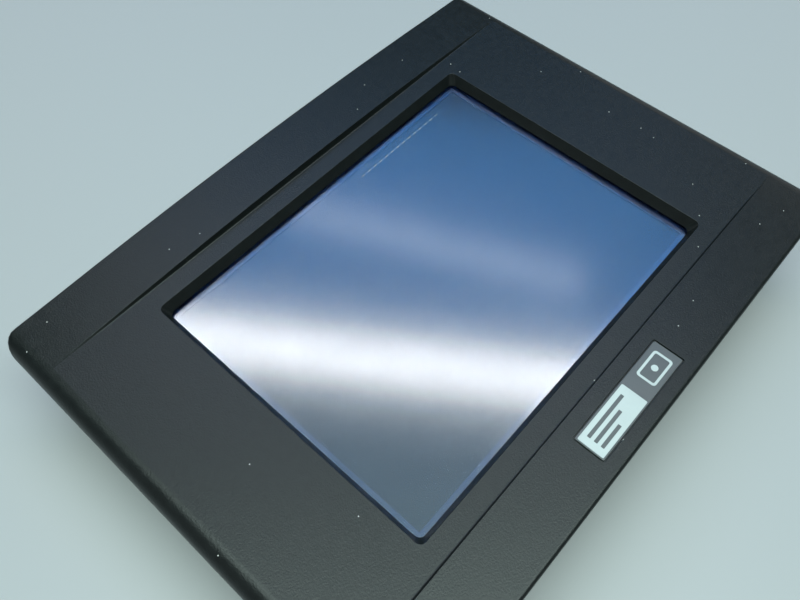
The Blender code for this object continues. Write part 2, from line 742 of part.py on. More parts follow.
def lamps():
    """Two lamp tubes, one along each long edge of the light guide."""
    reach = ACTIVE_WIDTH / 2 + CELL_MARGIN
    y = ACTIVE_HEIGHT / 2 + CELL_MARGIN + LAMP_RADIUS + 2 * GAP
    z = guide_back() + GUIDE_THICKNESS / 2
    for name, side in (("lamp_upper", 1), ("lamp_lower", -1)):
        tube = rod((-reach, side * y, z), (reach, side * y, z), LAMP_RADIUS, segments=10)
        add_node(tube, name, LAMP_WHITE)


def cable_slot():
    """The slot in the plate that the display cable passes through."""
    half_x = CABLE_SLOT_WIDTH / 2
    half_y = CABLE_SLOT_DEPTH / 2
    return block(
        (CABLE_X - half_x, CABLE_Y - half_y, PLATE_BACK_Z - MM),
        (CABLE_X + half_x, CABLE_Y + half_y, PLATE_TOP_Z + MM),
    )


def lcd_tray():
    """Back pan of the display module, with a stop inside each short end."""
    pan = block(
        (-MODULE_X, -MODULE_Y, MODULE_BACK_Z),
        (MODULE_X, MODULE_Y, MODULE_BACK_Z + TRAY_THICKNESS),
        MODULE_CORNER,
        segments=2,
    )
    stop_size = (4 * MM, 90 * MM, 5 * MM)
    stop_inset = 5 * MM
    stop_z = MODULE_BACK_Z + 3 * MM
    stops = []
    for x in both_sides(MODULE_X - stop_inset):
        stops.append(mid_block((x, 0, stop_z), stop_size))
    return add_node(unite(pan, stops), "lcd_tray", IVORY_PLASTIC)


def standoff_places():
    """Middles of the pressed-in studs that hold the main board."""
    left = BOARD_LEFT + STANDOFF_INSET
    right = BOARD_RIGHT - STANDOFF_INSET
    low = BOARD_BOTTOM + STANDOFF_LOW
    high = BOARD_BOTTOM + BOARD_HEIGHT - STANDOFF_INSET
    return [(left, low), (right, low), (left, high), (right, high)]


def inverter_box():
    """Low and high corner of the inverter board."""
    top = WALL_Y - SHEET - INVERTER_WALL_GAP
    z = PLATE_BACK_Z - INVERTER_STUD_LENGTH
    low = (-INVERTER_LENGTH / 2, top - INVERTER_WIDTH, z - BOARD_THICKNESS)
    high = (INVERTER_LENGTH / 2, top, z)
    return low, high


def stud(x, y, start_z, end_z):
    """Six-sided stud between two heights."""
    return rod((x, y, start_z), (x, y, end_z), STANDOFF_RADIUS, segments=6)


def display_plate():
    """Sheet that carries the display in front and the boards behind."""
    x = WALL_X - SHEET - PLATE_MARGIN
    y = WALL_Y - SHEET - PLATE_MARGIN
    plate = block((-x, -y, PLATE_BACK_Z), (x, y, PLATE_TOP_Z), PLATE_CORNER, segments=1)
    bite = MM / 2
    studs = []
    for px, py in standoff_places():
        studs.append(stud(px, py, PLATE_BACK_Z + bite, BOARD_TOP_Z + GAP))
    low, high = inverter_box()
    for px in (low[0] + INVERTER_STUD_INSET, high[0] - INVERTER_STUD_INSET):
        studs.append(stud(px, (low[1] + high[1]) / 2, PLATE_BACK_Z + bite, high[2] + GAP))
    spacer_top = SEAT_Z - GAP - SHEET - GAP
    for px in both_sides((MODULE_X + x) / 2):
        for py in both_sides(y - STANDOFF_INSET):
            studs.append(stud(px, py, PLATE_TOP_Z - bite, spacer_top))
    unite(plate, studs)
    return add_node(carve(plate, [cable_slot()]), "display_plate", ZINC_STEEL)


def display_cable():
    """Flat cable from the back of the display, through the plate, down to the main board."""
    top = MODULE_BACK_Z - GAP
    low = BOARD_TOP_Z + GAP
    centre = []
    steps = 10
    for step in range(steps + 1):
        share = step / steps
        y = CABLE_Y - CABLE_BOW * math.sin(math.pi * share) ** 2
        centre.append((y, top + (low - top) * share))
    half = CABLE_THICKNESS / 2
    outline = [(y - half, z) for y, z in centre] + [(y + half, z) for y, z in reversed(centre)]
    turn = Matrix(((0, 0, 1, 0), (1, 0, 0, 0), (0, 1, 0, 0), (0, 0, 0, 1)))
    cable = slab(outline, CABLE_WIDTH, (CABLE_X, 0, 0), turn)
    return add_node(cable, "display_cable", ORANGE_FILM)


# ---------------------------------------------------------------- boards


def inverter():
    low, high = inverter_box()
    add_node(block(low, high), "inverter_board", GREEN_BOARD)
    middle_y = (low[1] + high[1]) / 2
    top = low[2] - GAP
    coil = block(
        (-COIL_LENGTH / 2, middle_y - COIL_WIDTH / 2, top - COIL_HEIGHT),
        (COIL_LENGTH / 2, middle_y + COIL_WIDTH / 2, top),
        1.5 * MM,
    )
    return add_node(coil, "inverter_transformer", BLACK_CHIP)


def main_board():
    board = block(
        (BOARD_LEFT, BOARD_BOTTOM, BOARD_BACK_Z),
        (BOARD_RIGHT, BOARD_BOTTOM + BOARD_HEIGHT, BOARD_TOP_Z),
        PLATE_CORNER,
        segments=2,
    )
    return add_node(board, "main_board", GREEN_BOARD)


def processor_and_sink():
    y = BOARD_BOTTOM + CHIP_UP
    middle = (CHIP_X, y, PORT_TOP_Z - CHIP_HEIGHT / 2)
    add_node(mid_block(middle, (CHIP_SIZE, CHIP_SIZE, CHIP_HEIGHT)), "processor", BLACK_CHIP)
    half = SINK_SIZE / 2
    tip = -SINK_BASE - FIN_HEIGHT
    pitch = (SINK_SIZE - FIN_THICKNESS) / (FIN_COUNT - 1)
    outline = [(half, 0.0), (-half, 0.0)]
    for index in range(FIN_COUNT):
        left = -half + pitch * index
        outline.append((left, tip))
        outline.append((left + FIN_THICKNESS, tip))
        if index < FIN_COUNT - 1:
            outline.append((left + FIN_THICKNESS, -SINK_BASE))
            outline.append((left + pitch, -SINK_BASE))
    turn = Matrix.Rotation(math.pi / 2, 4, "X")
    sink = slab(outline, SINK_SIZE, (CHIP_X, y, PORT_TOP_Z - CHIP_HEIGHT - GAP), turn)
    return add_node(sink, "heat_sink", ALUMINIUM)


def memory():
    """Socket along the board, and the module that lies in it with its chips."""
    x = MEMORY_X
    y = BOARD_BOTTOM + MEMORY_UP
    half = MEMORY_LENGTH / 2
    socket = block(
        (x - half, y, PORT_TOP_Z - MEMORY_SOCKET_HEIGHT),
        (x + half, y + MEMORY_SOCKET_WIDTH, PORT_TOP_Z),
    )
    module_z = PORT_TOP_Z - 2.6 * MM
    module_half = MEMORY_MODULE_THICKNESS / 2
    grip = y + MEMORY_MODULE_GRIP
    slot = block(
        (x - half + MM, y - MM, module_z - module_half - SLIP),
        (x + half - MM, grip + MM / 2, module_z + module_half + SLIP),
    )
    add_node(carve(socket, [slot]), "memory_socket", IVORY_PLASTIC)
    reach = half - MM - GAP
    module = block(
        (x - reach, y - MEMORY_MODULE_REACH, module_z - module_half),
        (x + reach, grip, module_z + module_half),
    )
    chips = []
    for index in range(MEMORY_CHIP_COUNT):
        chip_x = x + (index - (MEMORY_CHIP_COUNT - 1) / 2) * MEMORY_CHIP_PITCH
        chips.append(mid_block((chip_x, y - MEMORY_CHIP_BACK, module_z - MM), MEMORY_CHIP))
    return add_node(unite(module, chips), "memory_module", GREEN_BOARD)


def battery():
    """Round holder, open at one side, with the cell in it."""
    x = BATTERY_X
    y = BOARD_BOTTOM + BATTERY_UP
    low = PORT_TOP_Z - HOLDER_HEIGHT
    floor = PORT_TOP_Z - HOLDER_FLOOR
    outside = BATTERY_RADIUS + HOLDER_WALL + SLIP
    holder = rod((x, y, low), (x, y, PORT_TOP_Z), outside, segments=32)
    pocket = rod((x, y, low - MM), (x, y, floor), BATTERY_RADIUS + SLIP, segments=32)
    gate_half = 0.6 * BATTERY_RADIUS
    gate_far = y - outside - 2 * MM
    gate = block((x - gate_half, gate_far, low - MM), (x + gate_half, y - gate_half, floor))
    add_node(carve(holder, [pocket, gate]), "battery_holder", BLACK_CHIP)
    cell_top = floor - GAP
    cell_low = cell_top - BATTERY_THICKNESS
    cell = rod((x, y, cell_low), (x, y, cell_top), BATTERY_RADIUS, segments=32)
    return add_node(cell, "coin_cell", BRIGHT_STEEL)


def card_outer():
    return WALL_X - SHEET - CARD_INSET


def card_parts():
    """Socket on the main board, the card in it, and the bar that pushes the card out."""
    outer = card_outer()
    half = CARD_WIDTH / 2
    slot_half = half + SLIP
    card_half = CARD_THICKNESS / 2
    socket_front = outer - CARD_SOCKET_SHORT
    socket_back = outer - CARD_LENGTH - CARD_SOCKET_BACK
    bar_low = CARD_Y + slot_half + CARD_SOCKET_WALL + SLIP
    bar_high = bar_low + BAR_WIDTH
    body = block(
        (socket_back, CARD_Y - slot_half - CARD_SOCKET_WALL, CARD_Z - CARD_SOCKET_FLOOR),
        (socket_front, bar_high + SLIP + CARD_SOCKET_WALL, PORT_TOP_Z),
    )
    card_slot = block(
        (outer - CARD_LENGTH - CARD_END_GAP, CARD_Y - slot_half, CARD_Z - card_half - SLIP),
        (socket_front + MM, CARD_Y + slot_half, CARD_Z + card_half + SLIP),
    )
    bar_slot = block(
        (socket_front - BAR_SLOT_LENGTH, bar_low - SLIP, CARD_Z - BAR_HALF_HEIGHT - SLIP),
        (socket_front + MM, bar_high + SLIP, CARD_Z + BAR_HALF_HEIGHT + SLIP),
    )
    add_node(carve(body, [card_slot, bar_slot]), "card_socket", BLACK_CHIP)
    card = block(
        (outer - CARD_LENGTH, CARD_Y - half, CARD_Z - card_half),
        (outer, CARD_Y + half, CARD_Z + card_half),
        CARD_CORNER,
        axis=0,
        segments=2,
    )
    add_node(card, "memory_card", BLACK_CHIP)
    bar = block(
        (socket_front - BAR_LENGTH_INSIDE, bar_low, CARD_Z - BAR_HALF_HEIGHT),
        (outer + BAR_PROUD, bar_high, CARD_Z + BAR_HALF_HEIGHT),
        BAR_CORNER,
        axis=0,
        segments=2,
    )
    return add_node(bar, "eject_button", BLACK_MOULDING)


# ---------------------------------------------------------------- ports on the bottom wall


def port_body(x, width, height):
    """Plain body of a port: it stands a little proud of the wall."""
    return block(
        (x - width / 2, WALL_FACE - PORT_PROUD, PORT_TOP_Z - height),
        (x + width / 2, WALL_FACE + PORT_DEPTH, PORT_TOP_Z),
        PORT_CORNER,
        axis=1,
        segments=1,
    )


def power_port():
    """Header fixed to the board, and the plug with three screw terminals that pulls out of it."""
    half = POWER_WIDTH / 2 - POWER_WALL
    low = PORT_TOP_Z - POWER_HEIGHT + POWER_WALL
    high = PORT_TOP_Z - POWER_WALL
    mouth = block(
        (POWER_X - half, WALL_FACE - 2 * PORT_PROUD, low),
        (POWER_X + half, WALL_FACE + POWER_MOUTH_DEPTH, high),
    )
    header = carve(port_body(POWER_X, POWER_WIDTH, POWER_HEIGHT), [mouth])
    add_node(header, "power_header", GREEN_TERMINAL)
    grip_low = low + SLIP - PLUG_CHIN
    grip_high = high - SLIP
    nose = block(
        (POWER_X - half + SLIP, WALL_FACE - PLUG_GRIP_NEAR - MM, low + SLIP),
        (POWER_X + half - SLIP, WALL_FACE + PLUG_NOSE, grip_high),
    )
    grip = block(
        (POWER_X - POWER_WIDTH / 2, WALL_FACE - PLUG_GRIP_FAR, grip_low),
        (POWER_X + POWER_WIDTH / 2, WALL_FACE - PLUG_GRIP_NEAR, grip_high),
        PLUG_CORNER,
        axis=0,
        segments=1,
    )
    y = WALL_FACE - TERMINAL_OUT
    holes = []
    screws = []
    for index in (-1, 0, 1):
        x = POWER_X + index * TERMINAL_PITCH
        well_top = grip_low + TERMINAL_WELL_DEPTH
        holes.append(rod((x, y, grip_low - MM), (x, y, well_top), TERMINAL_WELL_RADIUS, segments=12))
        holes.append(
            block(
                (x - WIRE_HALF, WALL_FACE - PLUG_GRIP_FAR - MM, grip_low + WIRE_FLOOR),
                (x + WIRE_HALF, WALL_FACE - WIRE_END, grip_high - WIRE_CEILING),
            )
        )
        face = grip_low + TERMINAL_SCREW_SUNK
        end = face + TERMINAL_SCREW_LENGTH
        screw = rod((x, y, face), (x, y, end), TERMINAL_SCREW_RADIUS, segments=12)
        slot = mid_block((x, y, face), (3 * TERMINAL_SCREW_RADIUS, 0.6 * MM, 1.4 * MM))
        screws.append(carve(screw, [slot]))
    add_node(carve(unite(grip, [nose]), holes), "power_plug", GREEN_TERMINAL)
    for index, screw in enumerate(screws):
        add_node(screw, f"terminal_screw_{index + 1}", BRIGHT_STEEL)


def serial_port(x, name):
    """Nine-way plug shell on a flange, with its two jack posts."""
    y = WALL_FACE
    z = PORT_TOP_Z - SERIAL_HEIGHT / 2
    half_x = SERIAL_WIDTH / 2
    half_z = SERIAL_HEIGHT / 2
    flange = block(
        (x - half_x, y - PORT_PROUD, z - half_z),
        (x + half_x, y, z + half_z),
        SERIAL_CORNER,
        axis=1,
        segments=2,
    )
    inside = block(
        (x - half_x + MM, y - PORT_PROUD / 2, z - half_z + MM),
        (x + half_x - MM, y + SERIAL_DEPTH, PORT_TOP_Z),
    )
    shell = block(
        (x - SERIAL_SHELL_X, y - SERIAL_REACH, z - SERIAL_SHELL_Z),
        (x + SERIAL_SHELL_X, y, z + SERIAL_SHELL_Z),
        SERIAL_SHELL_CORNER,
        axis=1,
    )
    posts = []
    for side in both_sides(JACK_X):
        posts.append(rod((x + side, y - SERIAL_REACH, z), (x + side, y, z), JACK_RADIUS, segments=6))
    unite(flange, [inside, shell] + posts)
    recess_x = SERIAL_SHELL_X - SERIAL_SHELL_WALL
    recess_z = SERIAL_SHELL_Z - SERIAL_SHELL_WALL
    recess = block(
        (x - recess_x, y - SERIAL_REACH - MM, z - recess_z),
        (x + recess_x, y - SERIAL_FLOOR, z + recess_z),
        SERIAL_SHELL_CORNER - SLIP,
        axis=1,
    )
    return add_node(carve(flange, [recess]), name, BRIGHT_STEEL)


def network_socket():
    x = NETWORK_X
    z = PORT_TOP_Z - NETWORK_HEIGHT / 2
    start = WALL_FACE - 3 * MM
    end = WALL_FACE + MOUTH_DEPTH
    opening = block(
        (x - NETWORK_MOUTH_X, start, z - NETWORK_MOUTH_LOW),
        (x + NETWORK_MOUTH_X, end, z + NETWORK_MOUTH_HIGH),
    )
    notch = block(
        (x - NETWORK_NOTCH_X, start, z - NETWORK_NOTCH_LOW),
        (x + NETWORK_NOTCH_X, end, z - NETWORK_MOUTH_LOW + SLIP),
    )
    body = carve(port_body(x, NETWORK_WIDTH, NETWORK_HEIGHT), [opening, notch])
    return add_node(body, "network_socket", BRIGHT_STEEL)


def usb_socket():
    """Two stacked sockets, each with its contact tongue."""
    x = USB_X
    start = WALL_FACE - 3 * MM
    end = WALL_FACE + MOUTH_DEPTH
    mouths = []
    tongues = []
    for drop in USB_DROPS:
        z = PORT_TOP_Z - drop
        mouths.append(
            block((x - USB_MOUTH_X, start, z - USB_MOUTH_Z), (x + USB_MOUTH_X, end, z + USB_MOUTH_Z))
        )
        tongues.append(
            block(
                (x - TONGUE_X, WALL_FACE + TONGUE_START, z + TONGUE_LOW),
                (x + TONGUE_X, end + MM, z + TONGUE_HIGH),
            )
        )
    body = carve(port_body(x, USB_WIDTH, USB_HEIGHT), mouths)
    return add_node(unite(body, tongues), "usb_socket", BRIGHT_STEEL)


def reset_button():
    x = RESET_X
    y = WALL_FACE
    z = SMALL_PORT_Z
    cap = rod((x, y - RESET_PROUD, z), (x, y + RESET_LENGTH, z), RESET_RADIUS)
    near = y + RESET_FLANGE_NEAR + RESET_TRAVEL / 2
    flange = rod((x, near, z), (x, y + RESET_FLANGE_FAR, z), RESET_FLANGE_RADIUS)
    return add_node(unite(cap, [flange]), "reset_button", RED_PLASTIC)


def mode_switch():
    """Slide lever that stands in its slot in the wall."""
    lever = mid_block((SWITCH_X, WALL_FACE + LEVER_IN, SMALL_PORT_Z), LEVER)
    foot = mid_block((SWITCH_X, WALL_FACE + SHEET + LEVER_FOOT_IN, SMALL_PORT_Z), LEVER_FOOT)
    return add_node(unite(lever, [foot]), "mode_switch", IVORY_PLASTIC)


def earth_point():
    """Stud through the bottom wall, with a collar inside and a nut outside."""
    x = STUD_X
    y = WALL_FACE
    z = SMALL_PORT_Z
    inside = y + SHEET
    bar = rod((x, y - STUD_LENGTH, z), (x, inside + STUD_TAIL, z), STUD_RADIUS, segments=12)
    collar = rod((x, inside + GAP, z), (x, inside + COLLAR_FAR, z), COLLAR_RADIUS, segments=12)
    add_node(unite(bar, [collar]), "earth_stud", BRASS)
    nut = rod((x, y - NUT_FAR, z), (x, y - NUT_NEAR, z), NUT_RADIUS, segments=6)
    bore = rod((x, y - NUT_FAR - 2 * MM, z), (x, y + MM, z), STUD_RADIUS + GAP)
    return add_node(carve(nut, [bore]), "earth_nut", BRIGHT_STEEL)


def port_openings():
    """Holes in the bottom wall, each the size of its port and a margin."""
    y0 = WALL_FACE - MM
    y1 = WALL_FACE + SHEET + MM
    sizes = [
        (POWER_X, POWER_WIDTH, POWER_HEIGHT),
        (NETWORK_X, NETWORK_WIDTH, NETWORK_HEIGHT),
        (USB_X, USB_WIDTH, USB_HEIGHT),
    ]
    sizes += [(x, SERIAL_WIDTH, SERIAL_HEIGHT) for x in SERIAL_X]
    holes = []
    for x, width, height in sizes:
        half = width / 2 + PORT_MARGIN
        low = PORT_TOP_Z - height - PORT_MARGIN
        holes.append(block((x - half, y0, low), (x + half, y1, PORT_TOP_Z + PORT_MARGIN)))
    z = SMALL_PORT_Z
    holes.append(rod((RESET_X, y0, z), (RESET_X, y1, z), RESET_RADIUS + GAP))
    holes.append(rod((STUD_X, y0, z), (STUD_X, y1, z), STUD_RADIUS + GAP))
    half_x = LEVER[0] / 2 + SWITCH_TRAVEL + SLIP
    half_z = LEVER[2] / 2 + SLIP
    holes.append(block((SWITCH_X - half_x, y0, z - half_z), (SWITCH_X + half_x, y1, z + half_z)))
    return holes


# ---------------------------------------------------------------- card door


def door_half_width():
    return CARD_WIDTH / 2 + DOOR_OVERLAP


def door_low_z():
    return CARD_Z - DOOR_HEIGHT / 2


def hinge_axis():
    """X and Z of the door's hinge line, which runs along Y outside the right-hand wall."""
    return WALL_X + GAP + HINGE_RADIUS, door_low_z() - HINGE_RADIUS - GAP


def card_opening():
    """Hole in the right-hand wall in front of the card and its push bar."""
    half = door_half_width() - OPENING_INSET
    return block(
        (WALL_X - SHEET - MM, CARD_Y - half, CARD_Z - OPENING_HALF_HEIGHT),
        (WALL_X + MM, CARD_Y + half, CARD_Z + OPENING_HALF_HEIGHT),
    )


def hinge_ears():
    """Two eyes on the wall that hold the hinge pin, with the pin's bores."""
    x, z = hinge_axis()
    half = door_half_width()
    ear_half = HINGE_RADIUS * EAR_SHARE
    ears = []
    for side in (-1, 1):
        low, high = ordered(CARD_Y + side * (half - HINGE_KNUCKLE / 2), CARD_Y + side * half)
        ears.append(rod((x, low, z), (x, high, z), HINGE_RADIUS))
        ears.append(block((WALL_X - SHEET / 2, low, z - ear_half), (x, high, z + ear_half)))
    bore = rod((x, CARD_Y - half - MM, z), (x, CARD_Y + half + MM, z), HINGE_PIN_RADIUS + GAP)
    return ears, bore


def card_door():
    """Flap with its knuckle and thumb tab, and the pin it turns on."""
    x, z = hinge_axis()
    half = door_half_width()
    back = WALL_X + GAP
    front = back + DOOR_THICKNESS
    low = door_low_z()
    high = low + DOOR_HEIGHT
    plate = block(
        (back, CARD_Y - half, low),
        (front, CARD_Y + half, high),
        DOOR_CORNER,
        axis=0,
        segments=2,
        origin=(x, CARD_Y, z),
    )
    reach = half - HINGE_KNUCKLE / 2 - SLIP
    knuckle = rod((x, CARD_Y - reach, z), (x, CARD_Y + reach, z), HINGE_RADIUS)
    web = block((x - DOOR_WEB, CARD_Y - reach, z), (x + DOOR_WEB, CARD_Y + reach, low + MM))
    tab = block(
        ((back + front) / 2, CARD_Y - TAB_HALF_WIDTH, high - TAB_LOW),
        (front + TAB_PROUD, CARD_Y + TAB_HALF_WIDTH, high - TAB_HIGH),
    )
    door = unite(plate, [knuckle, web, tab])
    bore = rod((x, CARD_Y - half, z), (x, CARD_Y + half, z), HINGE_PIN_RADIUS + GAP)
    add_node(carve(door, [bore]), "card_door", BLACK_MOULDING)
    pin_half = half + MM / 2
    pin = rod((x, CARD_Y - pin_half, z), (x, CARD_Y + pin_half, z), HINGE_PIN_RADIUS, segments=10)
    return add_node(pin, "door_pin", BRIGHT_STEEL)


# ---------------------------------------------------------------- housing


def vents(middle, size):
    """A row of slots, evenly spaced along X about the middle."""
    slots = []
    for index in range(VENT_COUNT):
        shift = (index - (VENT_COUNT - 1) / 2) * VENT_PITCH
        slots.append(mid_block((middle[0] + shift, middle[1], middle[2]), size))
    return slots


def cover_screw_places():
    x = WALL_X - COVER_SCREW_INSET
    y = WALL_Y - COVER_SCREW_INSET
    return [(-x, -y), (x, -y), (-x, y), (x, y)]


def rear_chassis():
    """Four walls with an inward lip in front, for the bezel, and one behind, for the cover."""
    back = SHEET + GAP
    front = SEAT_Z - GAP
    tube = block((-WALL_X, -WALL_Y, back), (WALL_X, WALL_Y, front), HOUSING_CORNER)
    inner_x = WALL_X - SHEET
    inner_y = WALL_Y - SHEET
    hollow = block(
        (-inner_x, -inner_y, back + SHEET),
        (inner_x, inner_y, front - SHEET),
        HOUSING_CORNER - SHEET,
        segments=1,
    )
    front_low = front - 2 * SHEET
    front_hole = block(
        (-FRONT_HOLE_X, -FRONT_HOLE_Y, front_low),
        (FRONT_HOLE_X, FRONT_HOLE_Y, front + MM),
        HOLE_CORNER,
    )
    rear_x = WALL_X - REAR_LIP
    rear_y = WALL_Y - REAR_LIP
    rear_high = back + 2 * SHEET
    rear_hole = block((-rear_x, -rear_y, back - MM), (rear_x, rear_y, rear_high), HOLE_CORNER)
    cuts = [hollow, front_hole, rear_hole, card_opening()] + port_openings()
    for x, y in post_places():
        cuts.append(rod((x, y, front_low), (x, y, front + MM), POST_RADIUS + GAP))
    screw_hole = COVER_SCREW_RADIUS + GAP
    for x, y in cover_screw_places():
        cuts.append(rod((x, y, back - MM), (x, y, rear_high), screw_hole, segments=12))
    vent_z = (PLATE_BACK_Z + back) / 2
    cuts += vents((0, WALL_Y, vent_z), (VENT_WIDTH, VENT_CUT, VENT_LENGTH))
    chassis = carve(tube, cuts)
    ears, bore = hinge_ears()
    unite(chassis, ears)
    return add_node(carve(chassis, [bore]), "rear_chassis", BLACK_PAINT)


def rear_cover():
    """Flat plate that closes the back, with vents and countersunk holes."""
    cover = block((-WALL_X, -WALL_Y, 0), (WALL_X, WALL_Y, SHEET), HOUSING_CORNER)
    cuts = []
    for row in both_sides(WALL_Y / 2):
        cuts += vents((0, row, SHEET / 2), (VENT_WIDTH, VENT_LENGTH, VENT_CUT))
    lean = COVER_HEAD_RADIUS - COVER_SCREW_RADIUS
    hole = COVER_SCREW_RADIUS + GAP
    for x, y in cover_screw_places():
        cuts.append(rod((x, y, -MM), (x, y, 2 * SHEET), hole))
        cuts.append(rod((x, y, -MM), (x, y, lean), COVER_HEAD_RADIUS + GAP + MM, hole))
    return add_node(carve(cover, cuts), "rear_cover", BLACK_PAINT)


def cover_screws():
    """Countersunk screws, flush with the back, each with a crossed slot."""
    sunk = 0.05 * MM
    lean = COVER_HEAD_RADIUS - COVER_SCREW_RADIUS
    shank_radius = 0.98 * COVER_SCREW_RADIUS
    slot_length = 1.4 * COVER_HEAD_RADIUS
    slot_cut = 2 * COVER_SLOT_DEPTH
    for index, (x, y) in enumerate(cover_screw_places()):
        neck = (x, y, sunk + lean)
        head = rod((x, y, sunk), neck, COVER_HEAD_RADIUS, COVER_SCREW_RADIUS)
        start = (x, y, sunk + lean / 2)
        shank = rod(start, (x, y, COVER_SCREW_LENGTH), shank_radius, segments=12)
        screw = unite(head, [shank])
        slots = [
            mid_block((x, y, 0), (slot_length, COVER_SLOT_WIDTH, slot_cut)),
            mid_block((x, y, 0), (COVER_SLOT_WIDTH, slot_length, slot_cut)),
        ]
        add_node(carve(screw, slots), f"cover_screw_{index + 1}", BRIGHT_STEEL)


def rating_plate():
    """Blank data label on the left-hand wall."""
    x = -WALL_X - GAP
    label = block(
        (x - LABEL_THICKNESS, -LABEL_WIDTH / 2, LABEL_LOW_Z),
        (x, LABEL_WIDTH / 2, LABEL_HIGH_Z),
        1.5 * MM,
        axis=0,
        segments=2,
    )
    return add_node(label, "rating_plate", LABEL_FILM)


# ---------------------------------------------------------------- panel clamps


def clamp_places():
    """X, and the side of the housing, for each clamp."""
    x = WALL_X - CLAMP_END_INSET
    return [(-x, 1), (x, 1), (-x, -1), (x, -1)]


def clamps():
    """Block hooked on the wall, a screw through it, and the pad that presses on the panel."""
    for index, (x, side) in enumerate(clamp_places()):
        number = index + 1
        y = side * (WALL_Y + CLAMP_OFFSET)
        outside = WALL_Y + CLAMP_OFFSET + CLAMP_SCREW_RADIUS + CLAMP_WALL
        low_y, high_y = ordered(side * (WALL_Y + GAP), side * outside)
        front = CLAMP_BACK_Z + CLAMP_BLOCK
        body = block(
            (x - CLAMP_WIDTH / 2, low_y, CLAMP_BACK_Z),
            (x + CLAMP_WIDTH / 2, high_y, front),
            CLAMP_CORNER,
        )
        hole = CLAMP_SCREW_RADIUS + GAP
        bore = rod((x, y, CLAMP_BACK_Z - MM), (x, y, front + MM), hole, segments=20)
        add_node(carve(body, [bore]), f"clamp_bracket_{number}", ZINC_STEEL)

        pad_front = SEAT_Z - PANEL_LARGEST
        pad_back = pad_front - CLAMP_PAD_HEIGHT
        pocket_end = pad_back + CLAMP_PAD_POCKET
        pad = rod((x, y, pad_back), (x, y, pad_front), CLAMP_PAD_RADIUS, segments=20)
        pocket = rod((x, y, pad_back - MM), (x, y, pocket_end), hole, segments=20)
        add_node(carve(pad, [pocket]), f"clamp_pad_{number}", BLACK_MOULDING)

        head_low = CLAMP_BACK_Z - CLAMP_HEAD_DROP
        head_high = head_low + CLAMP_HEAD_HEIGHT
        shank = rod((x, y, head_high - MM), (x, y, pocket_end - GAP), CLAMP_SCREW_RADIUS)
        head = rod((x, y, head_low), (x, y, head_high), CLAMP_HEAD_RADIUS, segments=20)
        drive_size = (2 * CLAMP_HEAD_RADIUS + MM, CLAMP_DRIVE_WIDTH, 2 * CLAMP_DRIVE_DEPTH)
        drive = mid_block((x, y, head_low), drive_size)
        add_node(carve(unite(shank, [head]), [drive]), f"clamp_screw_{number}", BRIGHT_STEEL)


def main():
    clear_scene()
    front_bezel()
    nameplate()
    panel_gasket()
    touch_glass()
    touch_seal()
    lcd_frame()
    lcd_cell()
    light_guide()
    lamps()
    lcd_tray()
    display_plate()
    display_cable()
    inverter()
    main_board()
    processor_and_sink()
    memory()
    battery()
    card_parts()
    power_port()
    for x, name in zip(SERIAL_X, ("serial_port_a", "serial_port_b")):
        serial_port(x, name)
    network_socket()
    usb_socket()
    reset_button()
    mode_switch()
    earth_point()
    card_door()
    rear_chassis()
    rear_cover()
    cover_screws()
    rating_plate()
    clamps()


main()
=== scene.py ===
# %% [markdown]
# # Touch terminal
# The object is a 10.4 inch operator terminal for the door of a control cabinet, lying face up on a
# bench. Its CAD frame already holds every part at its place, with the joints between them. It could
# all be modelled again from nothing, but then sizes and joints would drift away from the CAD. So
# this lesson starts from the CAD parts, gives them edges and finishes, and adds what is too fine
# for them. The frame is loaded first.

import json
import math
import random

import bpy
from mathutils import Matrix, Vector

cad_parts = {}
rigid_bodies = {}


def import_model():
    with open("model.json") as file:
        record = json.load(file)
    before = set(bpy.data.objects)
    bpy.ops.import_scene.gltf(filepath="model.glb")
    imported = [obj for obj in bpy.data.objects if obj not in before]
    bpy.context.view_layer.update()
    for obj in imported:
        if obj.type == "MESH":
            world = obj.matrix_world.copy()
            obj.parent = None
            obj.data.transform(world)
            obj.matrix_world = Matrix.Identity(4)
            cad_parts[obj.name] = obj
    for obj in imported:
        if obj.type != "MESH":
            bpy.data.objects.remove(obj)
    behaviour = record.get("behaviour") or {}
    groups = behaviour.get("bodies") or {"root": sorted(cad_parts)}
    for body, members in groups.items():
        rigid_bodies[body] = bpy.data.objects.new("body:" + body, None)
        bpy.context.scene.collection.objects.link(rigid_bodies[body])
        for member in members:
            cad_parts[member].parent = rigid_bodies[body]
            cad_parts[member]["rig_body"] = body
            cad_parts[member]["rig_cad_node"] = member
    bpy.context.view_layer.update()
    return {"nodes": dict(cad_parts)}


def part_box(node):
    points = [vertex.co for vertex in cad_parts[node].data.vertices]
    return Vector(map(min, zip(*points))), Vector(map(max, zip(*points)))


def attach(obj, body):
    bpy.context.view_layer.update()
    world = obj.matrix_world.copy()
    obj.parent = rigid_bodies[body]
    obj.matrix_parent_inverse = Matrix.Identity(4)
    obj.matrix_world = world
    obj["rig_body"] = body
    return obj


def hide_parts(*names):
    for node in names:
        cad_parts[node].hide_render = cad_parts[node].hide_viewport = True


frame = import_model()
nodes = frame["nodes"]
MM = 0.001
TERMINAL = "terminal"


def corners(node):
    """The low and the high corner of a CAD part's box, in mm."""
    return [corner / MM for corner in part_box(node)]


def centre(node):
    """The middle of a CAD part's box, in mm."""
    low, high = corners(node)
    return (low + high) / 2


# %% [markdown]
# The camera stands low over the terminal's bottom left corner and looks along the screen's
# diagonal, as someone does who bends over the bench. A camera could be aimed by hand or by a Track
# To constraint. Here its lens, place and turn were worked out once from where the four corners of
# the window have to fall, so they are written down as plain numbers.

